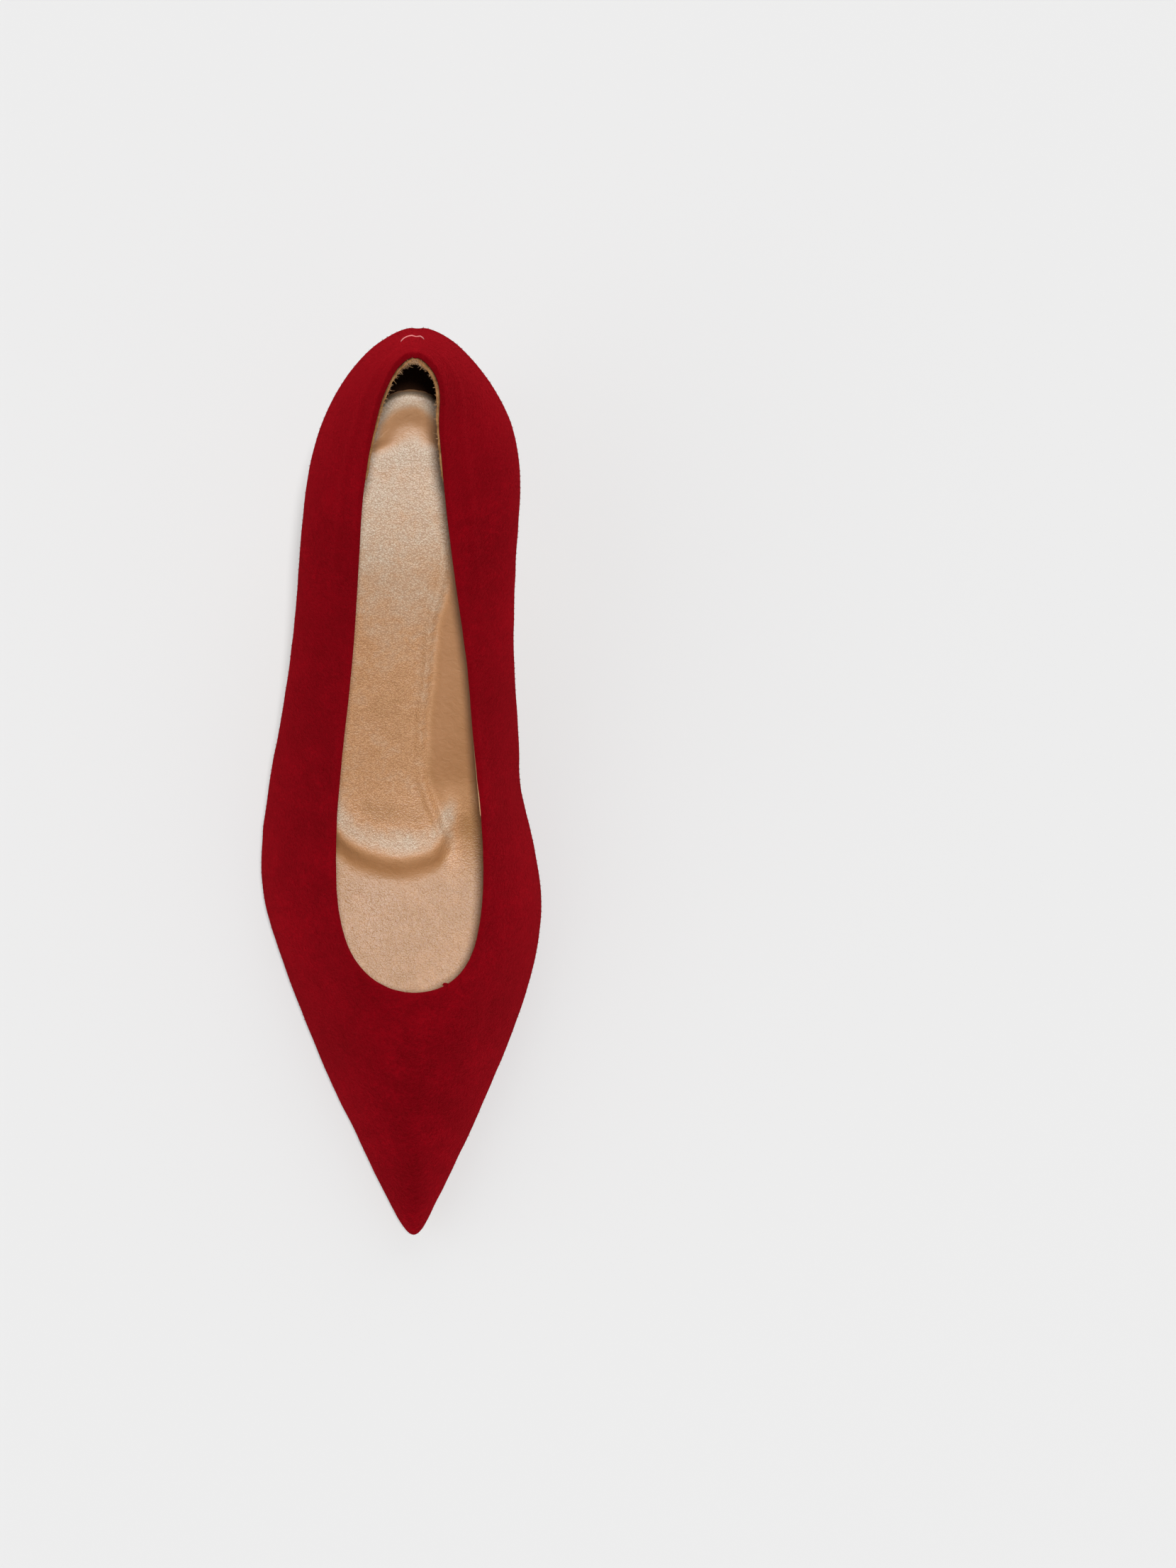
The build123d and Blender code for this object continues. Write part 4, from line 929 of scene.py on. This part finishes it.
def sock_grid(dz, gap, ny=300, nx=61, y_lo=None, y_hi=None):
    fl, fr, y0, y1 = outline_fn(dz)
    y0 = y0 if y_lo is None else max(y0, y_lo)
    y1 = y1 if y_hi is None else min(y1, y_hi)
    t = np.linspace(0, 1, ny)
    ys = y0 + 0.15 + (y1 - y0 - 0.3) * (0.5 - 0.5 * np.cos(np.pi * t)) * 0.12 + (y1 - y0 - 0.3) * t * 0.88
    xl, xr = fl(ys) + gap, fr(ys) - gap
    bad = xr - xl < 0.3
    mid_ = (xl + xr) / 2
    xl[bad], xr[bad] = mid_[bad] - 0.15, mid_[bad] + 0.15
    u = np.linspace(-1, 1, nx)
    u = np.sign(u) * np.abs(u) ** 0.85
    X = (xl + xr)[:, None] / 2 + (xr - xl)[:, None] / 2 * u[None]
    Y = np.repeat(ys[:, None], nx, 1)
    return X, Y, xl, xr


def closed_sheet(name, X, Y, Zt, Zb, attrs=None):
    ny, nx = X.shape
    top = np.stack([X, Y, Zt], -1)
    bot = np.stack([X, Y, Zb], -1)
    V = np.concatenate([top.reshape(-1, 3), bot.reshape(-1, 3)])
    f1 = ring_faces(ny, nx, False, False)
    f2 = ring_faces(ny, nx, False, False, base=ny * nx)[:, ::-1]
    F = [tuple(q[::-1]) for q in f1] + [tuple(q[::-1]) for q in f2]
    o = ny * nx
    for i in range(ny - 1):
        F.append((i * nx, i * nx + o, (i + 1) * nx + o, (i + 1) * nx)[::-1])
        a, b = i * nx + nx - 1, (i + 1) * nx + nx - 1
        F.append((a, b, b + o, a + o)[::-1])
    for j in range(nx - 1):
        F.append((j, j + 1, j + 1 + o, j + o)[::-1])
        a, b = (ny - 1) * nx + j, (ny - 1) * nx + j + 1
        F.append((a, a + o, b + o, b)[::-1])
    at = {}
    for k, v in (attrs or {}).items():
        at[k] = np.concatenate([v.ravel(), v.ravel()])
    return new_mesh(name, V, F, attrs=at)


X, Y, xl, xr = sock_grid(8.6, 0.02)
H = sock_height(X, Y)
wall = np.minimum(X - xl[:, None], xr[:, None] - X)
H = H + 0.9 * (1 - step01(wall, 0, 2.6)) * step01(Y, -10, 40)
H += 0.06 * vnoise(np.stack([X, Y, H], -1), 9.0, 41, 2)
Zt = z_bottom(Y) + H
ridge_x = ridge_of(Y)
# smooth and matt, with painted shade: darker on the arch's inner side, in the drop ahead of the ball pad, a spot by
# the inner wall, the hollow round the heel rim and behind the rim
smooth_and_painted_shade = step01(X - ridge_x, 0.8, 4.6) * step01(Y, -8, 8) * (1 - step01(Y, 60, 86))
YF = Y - front_of(X)[..., 0]
smooth_and_painted_shade = np.maximum(smooth_and_painted_shade, 0.9 * bump01(YF, -1.0, 3.1) * (1 - step01(X, 10.6, 13.2)))
smooth_and_painted_shade = np.maximum(smooth_and_painted_shade, 0.3 * bump01(X, 21.5, 2.5) * bump01(Y, -3.0, 5.0))
smooth_and_painted_shade = np.maximum(smooth_and_painted_shade, 0.95 * bump01(rim_at(X, Y), 8.3, 3.0))
smooth_and_painted_shade = np.maximum(smooth_and_painted_shade, 1 - step01(rim_at(X, Y), -0.4, 1.4))
D_rim = rim_at(X, Y)
# painted highlight: whiter on the heel seat, the arch's rear, the rim's crest, the ball pad's crest, the toes and a
# stripe right of the groove, less where smooth, plus a little random tone
painted_highlight_and_tone = 0.88 * step01(Y, 30, 74) + 0.50 * (1 - step01(Y, 30, 74)) * step01(Y, -10, 2)
painted_highlight_and_tone = painted_highlight_and_tone + 0.80 * bump01(D_rim, 3.0, 1.7) + 0.92 * bump01(YF, 6.2, 4.6) * (1 - step01(X, 12, 19)) + 0.06 * (1 - step01(YF, -9, -5))
painted_highlight_and_tone = painted_highlight_and_tone + 0.55 * bump01(X, 15.0, 2.0) * bump01(Y, -15.5, 5.0)
painted_highlight_and_tone = painted_highlight_and_tone * (1 - 0.75 * smooth_and_painted_shade) + 0.10 * vnoise(np.stack([X, Y, H], -1), 11.0, 43, 2)
sock = closed_sheet("sock_leather", X, Y, Zt, Zt - np.where(D_rim < 0.2, 0.12, 0.75), {"smooth": np.clip(smooth_and_painted_shade, 0, 1), "painted_highlight_and_tone": np.clip(painted_highlight_and_tone, 0, 1)})
finish_piece(sock, FOIL, "metallic_leather", "sock_lining", subd=1)

# the grip's foot, turned in over the heel seat behind the footbed, coloured fully dark as painted shade
X, Y, xl, xr = sock_grid(8.7, 0.05, 60, 41, y_lo=96.0)
Zs = z_bottom(Y) + 8.85 + 0.04 * vnoise(np.stack([X, Y, X * 0], -1), 3.0, 71, 2)
foot = closed_sheet("heel_grip_foot_painted_shade", X, Y, Zs, Zs - 0.2, {"painted_depth_shade": np.ones_like(X)})
finish_piece(foot, GRIP, "rough_suede")

# foam under the sock, rounded at its edges
X, Y, xl, xr = sock_grid(7.6, 0.4, 150, 33, y_lo=-20.5)
wall = np.minimum(X - xl[:, None], xr[:, None] - X)
H = sock_height(X, Y) - 0.85
H = np.where(rim_at(X, Y) < 1.5, np.minimum(H, 8.45), H)
end = np.minimum(1, (Y - Y.min()) / 3.0) ** 0.5
Zt = z_bottom(Y) + np.minimum(H, 7.6 + (H - 7.6) * np.clip(0.35 + 0.65 * np.sqrt(np.clip(wall / 3.0, 0, 1)), 0, 1) * (0.3 + 0.7 * end))
Zb = z_bottom(Y) + np.where(Y > 5, 8.32, 6.3)
Zt = np.maximum(Zt, Zb + 0.25)
cush = closed_sheet("footbed_cushion", X, Y, Zt, Zb)
finish_piece(cush, FOAM, "foam", "arch_cushion")
X, Y, xl, xr = sock_grid(7.0, 0.4, 110, 33, y_hi=-20.9)
wall = np.minimum(X - xl[:, None], xr[:, None] - X)
Zt = z_bottom(Y) + 6.6 + 0.9 * np.clip(0.3 + 0.7 * np.sqrt(np.clip(wall / 2.5, 0, 1)), 0, 1)
toe_foam = closed_sheet("toe_foam", X, Y, Zt, z_bottom(Y) + 6.2)
finish_piece(toe_foam, FOAM, "foam", "forefoot_foam")

# ================================================================ outsole
SOLE_END = 77.0 - 0.1


def sole_mesh():
    Fr = G["F"] + G["nin"] * 0.5
    L = Fr[:TIP + 1][::-1]
    R = np.vstack([Fr[TIP:], Fr[:1]])
    ny, nx = 260, 41
    ys = np.concatenate([np.linspace(L[0, 1] + 0.05, L[0, 1] + 6, 20), np.linspace(L[0, 1] + 6.6, SOLE_END, ny - 20)])
    def clean(a):
        k = [0]
        for i in range(1, len(a)):
            if a[i, 1] > a[k[-1], 1] + 1e-6:
                k.append(i)
        return a[k]
    L, R = clean(L), clean(R)
    xl, xr = np.interp(ys, L[:, 1], L[:, 0]), np.interp(ys, R[:, 1], R[:, 0])
    u = np.linspace(-1, 1, nx)
    u = np.sign(u) * np.abs(u) ** 0.7
    X = (xl + xr)[:, None] / 2 + (xr - xl)[:, None] / 2 * u
    Y = np.repeat(ys[:, None], nx, 1)
    w = np.minimum(X - xl[:, None], xr[:, None] - X)
    rnd = 0.55 * (1 - np.sqrt(np.clip(1 - (1 - np.clip(w / 0.9, 0, 1)) ** 2, 0, 1)))
    Zb = z_bottom(Y) + rnd
    Zt = z_bottom(Y) + OUTSOLE_T - rnd * 0.35
    return X, Y, Zt, Zb


X, Y, Zt, Zb = sole_mesh()
sole = closed_sheet("leather_outsole", X, Y, Zt, Zb)
finish_piece(sole, OUTSOLE, "outsole_leather", "outsole")

# ================================================================ heel
ids = [i for i in range(NC) if G["F"][i][1] >= 77.0]
lat_ids = [i for i in ids if i < TIP][::-1]
med_ids = [i for i in ids if i > TIP][::-1]
Dl = (G["F"] + G["nin"] * 0.35)[lat_ids]
Dm = (G["F"] + G["nin"] * 0.35)[med_ids]
D0 = np.vstack([Dl, Dm])
D0[0, 1] = D0[-1, 1] = 77.0
d_arc = np.concatenate([[0], np.cumsum(np.hypot(*np.diff(D0, axis=0).T))])
ND = 73
D0 = np.stack([np.interp(np.linspace(0, d_arc[-1], ND), d_arc, D0[:, c]) for c in range(2)], -1)
Y_B0, Y_F0 = float(D0[:, 1].max()), 77.0
X0_, X1_ = float(D0[:, 0].min()), float(D0[:, 0].max())
XC0, HW0 = (X0_ + X1_) / 2, (X1_ - X0_) / 2
slope_seat = float((z_bottom(122) - z_bottom(80)) / 42)
HX, HY = 7.0, 107.6
TP = 6.4
HEEL = np.array([(TP, 113.7, 101.7, 5.7, 0.00), (14, 113.6, 101.2, 5.7, 0.00), (24, 114.0, 100.0, 6.1, 0.02),
                 (33, 115.0, 97.6, 7.4, 0.08), (41, 116.7, 93.6, 10.0, 0.2), (48, 118.9, 88.4, 13.8, 0.38),
                 (54, 121.1, 83.2, 18.0, 0.6), (59.5, 122.8, 79.2, 21.8, 0.82), (64.5, Y_B0 - 0.1, 77.2, HW0 - 0.4, 1.0),
                 (75, Y_B0, 77.0, HW0, 1.0)])
prof = spline_fn(HEEL[:, 0], HEEL[:, 1:])


def heel_section(z, inset=0.0, nf=25):
    yb, yf, hw, tilt = [float(q) for q in prof(z)]
    tilt = min(max(tilt, 0.0), 1.0)
    yb, yf, hw = yb - inset, yf + inset, hw - inset
    t = min(1, max(0, (z - TP) / (64.5 - TP)))
    xc = HX + (XC0 - HX) * t ** 1.5
    Xs = xc + (D0[:, 0] - XC0) * hw / HW0
    Ys = yf + (D0[:, 1] - Y_F0) * (yb - yf) / (Y_B0 - Y_F0)
    q = np.linspace(0, 1, nf)[1:-1]
    ym = yf + min(3.2, 0.16 * hw) * (1 - tilt) * 4 * q * (1 - q)
    Xf = Xs[-1] + (Xs[0] - Xs[-1]) * q
    # corners of the breast rounded a little
    X = np.concatenate([Xs, Xf])
    Yc = np.concatenate([Ys, ym + 0 * q])
    Z = z + tilt * slope_seat * (Yc - 106.0)
    return np.stack([X, Yc, Z], -1)


def round_ring(R, it=2, w=0.25):
    for _ in range(it):
        R = R * (1 - 2 * w) + w * (np.roll(R, 1, 0) + np.roll(R, -1, 0))
    return R


rings = []
zs = np.concatenate([[TP + 0.0], np.linspace(TP + 0.25, 66.5, 64)])
for z in zs:
    r = round_ring(heel_section(float(z)), 2)
    lim = z_bottom(r[:, 1]) + OUTSOLE_T + 0.02
    r[:, 2] = np.minimum(r[:, 2], lim)
    rings.append(r)
top_r = heel_section(75.0)
top_r[:, 2] = z_bottom(top_r[:, 1]) + OUTSOLE_T + 0.02
top_r = round_ring(top_r, 2)
rings.append(top_r)
# in under the seat
for k in (0.93, 0.80, 0.5, 0.15):
    c = top_r.mean(0)
    r = c + (top_r - c) * k
    r[:, 2] = z_bottom(r[:, 1]) + OUTSOLE_T + 0.02
    rings.append(r)
first = rings[0]
low = []
for k in (0.15, 0.6, 0.92):
    c = first.mean(0)
    low.append(c + (first - c) * k + np.array([0, 0, 0.0]))
rings = low + rings
R = np.array(rings)
nr_, nm = R.shape[:2]
nz = vnoise(R, 9.0, 51, 2)
cen = R.mean(1, keepdims=True)
dirn = R - cen
dirn[..., 2] = 0
dirn /= np.linalg.norm(dirn, axis=-1, keepdims=True) + 1e-9
wgt = np.zeros(nr_); wgt[5:-7] = 1
R = R + dirn * (0.05 * nz * wgt[:, None])[..., None]
F = [tuple(f) for f in ring_faces(nr_, nm, False, True)]
F.append(tuple(range(nm)))
F.append(tuple(((nr_ - 1) * nm + q) for q in range(nm))[::-1])
nap_and_painted_highlight = np.clip(0.12 + 0.2 * vnoise(R, 18.0, 52, 3), 0, 1)
heel = new_mesh("heel_cover_suede", R, [f[::-1] for f in F], attrs={"nap_and_painted_highlight": nap_and_painted_highlight})
finish_piece(heel, SUEDE_HEEL, "suede_heel", "heel_cover")

# top piece: hard rubber with a bevelled edge
rg = []
for z, e in ((0.0, -0.9), (0.0, -0.35), (0.12, -0.1), (0.35, 0.02), (1.2, 0.06), (3.4, 0.05), (5.6, 0.04), (6.1, 0.0), (TP - 0.06, -0.12), (TP - 0.05, -0.5)):
    r = heel_section(TP, 0.0)
    c = r.mean(0)
    d = (r - c); d[:, 2] = 0
    L_ = np.linalg.norm(d, axis=1, keepdims=True)
    r = c + d * (L_ + e) / L_
    r[:, 2] = z
    rg.append(round_ring(r, 3))
R = np.array(rg)
nr_, nm = R.shape[:2]
F = [tuple(f) for f in ring_faces(nr_, nm, False, True)] + [tuple(range(nm)), tuple(((nr_ - 1) * nm + q) for q in range(nm))[::-1]]
lift = new_mesh("heel_lift", R, [f[::-1] for f in F])
finish_piece(lift, LIFT, "top_piece_rubber", "top_piece")

# ================================================================ bar tack of pink thread over the back seam
def tube(name, pts, r, seg=10, taper=0.6):
    pts = np.asarray(pts, float)
    n = len(pts)
    tan = np.gradient(pts, axis=0)
    tan /= np.linalg.norm(tan, axis=1, keepdims=True)
    ref = np.array([0, 0.3, 1.0])
    V = []
    for i in range(n):
        a = np.cross(tan[i], ref); a /= np.linalg.norm(a)
        b = np.cross(tan[i], a)
        rr = r * (1 - (1 - taper) * abs(2 * i / (n - 1) - 1) ** 6)
        for k in range(seg):
            t = 2 * np.pi * k / seg
            V.append(pts[i] + rr * (math.cos(t) * a + math.sin(t) * b))
    F = [tuple(f) for f in ring_faces(n, seg, False, True)]
    F.append(tuple(range(seg))[::-1])
    F.append(tuple((n - 1) * seg + k for k in range(seg)))
    return V, F


def surf(i, dtop, off=0.0):
    """Point off mm outside the upper, dtop mm below the topline on column i (may be fractional)."""
    i0 = int(math.floor(i)); t = i - i0
    pts = []
    for k in (i0 % NC, (i0 + 1) % NC):
        f = (1 - dtop / LEN[k]) * (NV - 1)
        j = int(f); q = f - j
        pts.append(OUT[k, j] * (1 - q) + OUT[k, j + 1] * q + NRM[k, j] * off)
    return pts[0] * (1 - t) + pts[1] * t


BAR_D = 15.5
pts = []
half_n = int(np.searchsorted(SS, 3.6))
K0 = int(np.searchsorted(SS, 0.9))
for k in np.linspace(-half_n, half_n, 41):
    e = abs(k) / half_n
    pts.append(surf(k + K0, BAR_D - 3.0 * e ** 3.2, 0.10))
V, F = tube("b", pts, 0.17)
bar = new_mesh("bar_tack_thread", V, F)
finish_piece(bar, PINK, "pink_thread", "back_seam_bar_tack")

# ================================================================ frayed fibres on the heel grip's raw edge
VV, FF = [], []
grip_r = layer(G, NRM, 2.45)
cols = list(grip_idx)
nf = 900
for k in range(nf):
    i = cols[int(rng.integers(0, len(cols)))]
    d = rng.uniform(2.0, 2.9)
    base = P0[i, -1] - NRM[i, -1] * d
    upv = P0[i, -1] - P0[i, -3]; upv /= np.linalg.norm(upv)
    base = base + upv * rng.uniform(-0.2, 0.45)
    dirf = upv * rng.uniform(0.1, 0.9) - NRM[i, -1] * rng.uniform(0.0, 1.1) + rng.normal(0, 0.45, 3)
    dirf /= np.linalg.norm(dirf)
    Lf = rng.uniform(0.25, 0.85) if rng.random() < 0.93 else rng.uniform(0.9, 1.5)
    curl = rng.normal(0, 0.35, 3)
    n = 5
    pt = [base + dirf * Lf * q + curl * Lf * q * q for q in np.linspace(0, 1, n)]
    v, f = tube("f", pt, rng.uniform(0.03, 0.055), 4, 0.3)
    o = len(VV)
    VV += [np.array(q) for q in v]
    FF += [tuple(q + o for q in g) for g in f]
fib = new_mesh("heel_grip_fibres", VV, FF)
finish_piece(fib, FRAY, "rough_suede")

# ================================================================ loose pile standing off the suede
def pile_fibres(name, base, normal, n, lo, hi, r, seed):
    """n short closed cones rooted just under the surface points in base."""
    g = np.random.default_rng(seed)
    a, b_ = base.shape[:2]
    i = g.integers(0, a, n); j = g.integers(0, b_ - 1, n); t = g.random(n)[:, None]
    P = base[i, j] * (1 - t) + base[i, j + 1] * t
    Nn = normal[i, j]
    d = Nn + g.normal(0, 0.55, (n, 3))
    d /= np.linalg.norm(d, axis=1, keepdims=True)
    L = g.uniform(lo, hi, n)[:, None]
    ref = np.where(np.abs(d[:, 2:]) > 0.8, np.array([[1.0, 0, 0]]), np.array([[0, 0, 1.0]]))
    u = np.cross(d, ref); u /= np.linalg.norm(u, axis=1, keepdims=True)
    w = np.cross(d, u)
    root = P - Nn * 0.06
    V = np.stack([root + r * (math.cos(q) * u + math.sin(q) * w) for q in (0, 2.0944, 4.18879)] + [root + d * (L + 0.06)], 1)
    o = (np.arange(n) * 4)[:, None]
    F = np.concatenate([o + np.array([[0, 2, 1]]), o + np.array([[0, 1, 3]]), o + np.array([[1, 2, 3]]), o + np.array([[2, 0, 3]])])
    return new_mesh(name, V, F, smooth=False, attrs={"nap_and_painted_highlight": np.full(n * 4, 0.35)})


ob = pile_fibres("suede_pile", OUT[:, 6:], NRM[:, 6:], 22000, 0.18, 0.50, 0.04, 11)
finish_piece(ob, SUEDE, "suede_upper")

# ================================================================ pieces that stay as the solid model has them
def paint(node, mat):
    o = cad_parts.get(node)
    if o is None:
        return
    o.data.materials.clear()
    o.data.materials.append(mat)


for n_, m_ in (("toe_puff", BOARD), ("heel_counter", BOARD), ("vamp_interlining", TAPE), ("side_stay_outer", TAPE), ("side_stay_inner", TAPE),
               ("insole_board", BOARD), ("backpart_board", BOARD), ("steel_shank", STEEL), ("shank_rivets", PLATED), ("bottom_filler", CORK),
               ("heel_block", HEELABS), ("heel_tube", STEEL), ("top_piece_pin", PLATED), ("heel_screw", PLATED), ("heel_nails", PLATED)):
    paint(n_, m_)

# ================================================================ floor, light and camera
me = bpy.data.meshes.new("floor")
s = 6.0
me.from_pydata([(-s, -s, 0), (s, -s, 0), (s, s, 0), (-s, s, 0)], [], [(0, 1, 2, 3)])
floor = bpy.data.objects.new("floor", me)
bpy.context.scene.collection.objects.link(floor)
fm = bpy.data.materials.new("floor")
nt, b = nodes_of(fm)
b.inputs["Base Color"].default_value = (0.56, 0.56, 0.56, 1)
b.inputs["Roughness"].default_value = 0.9
b.inputs["Specular IOR Level"].default_value = 0.0
b.inputs["Emission Color"].default_value = (1, 1, 1, 1)
b.inputs["Emission Strength"].default_value = 0.08
me.materials.append(fm)

world = bpy.data.worlds.new("studio")
bpy.context.scene.world = world
world.use_nodes = True
bg = world.node_tree.nodes["Background"]
bg.inputs["Color"].default_value = (1, 1, 1, 1)
bg.inputs["Strength"].default_value = 0.24


def aim(o, loc, target):
    o.location = loc
    o.rotation_euler = (Vector(target) - Vector(loc)).to_track_quat("-Z", "Y").to_euler()
    bpy.context.scene.collection.objects.link(o)


def softbox(name, loc, target, size, power):
    l = bpy.data.lights.new(name, "AREA")
    l.shape = "DISK"
    l.size = size
    l.energy = power
    o = bpy.data.objects.new(name, l)
    aim(o, loc, target)


def sun(name, direction, power, angle):
    l = bpy.data.lights.new(name, "SUN")
    l.energy = power
    l.angle = math.radians(angle)
    o = bpy.data.objects.new(name, l)
    aim(o, direction, (0, 0, 0))


sun("key", (0.065, 0.05, 1.0), 3.10, 6.0)
sun("rear", (0.15, 1.0, 0.75), 0.45, 60.0)
sun("side", (-1.0, 0.1, 0.8), 0.35, 70.0)

cam = bpy.data.cameras.new("camera")
cam.sensor_fit = "AUTO"
cam.sensor_width = 36.0
cam.lens = 6723.75 / 2212 * 36.0
cam.clip_start = 0.05
cam.clip_end = 20
co_ = bpy.data.objects.new("camera", cam)
co_.location = ((54.10 + SHIFT[0]) * 0.001, (3.22 + SHIFT[1]) * 0.001, 1.400)
co_.rotation_euler = (0, 0, 0)
bpy.context.scene.collection.objects.link(co_)
bpy.context.scene.camera = co_
sc = bpy.context.scene
sc.view_settings.view_transform = "Standard"
sc.view_settings.look = "None"
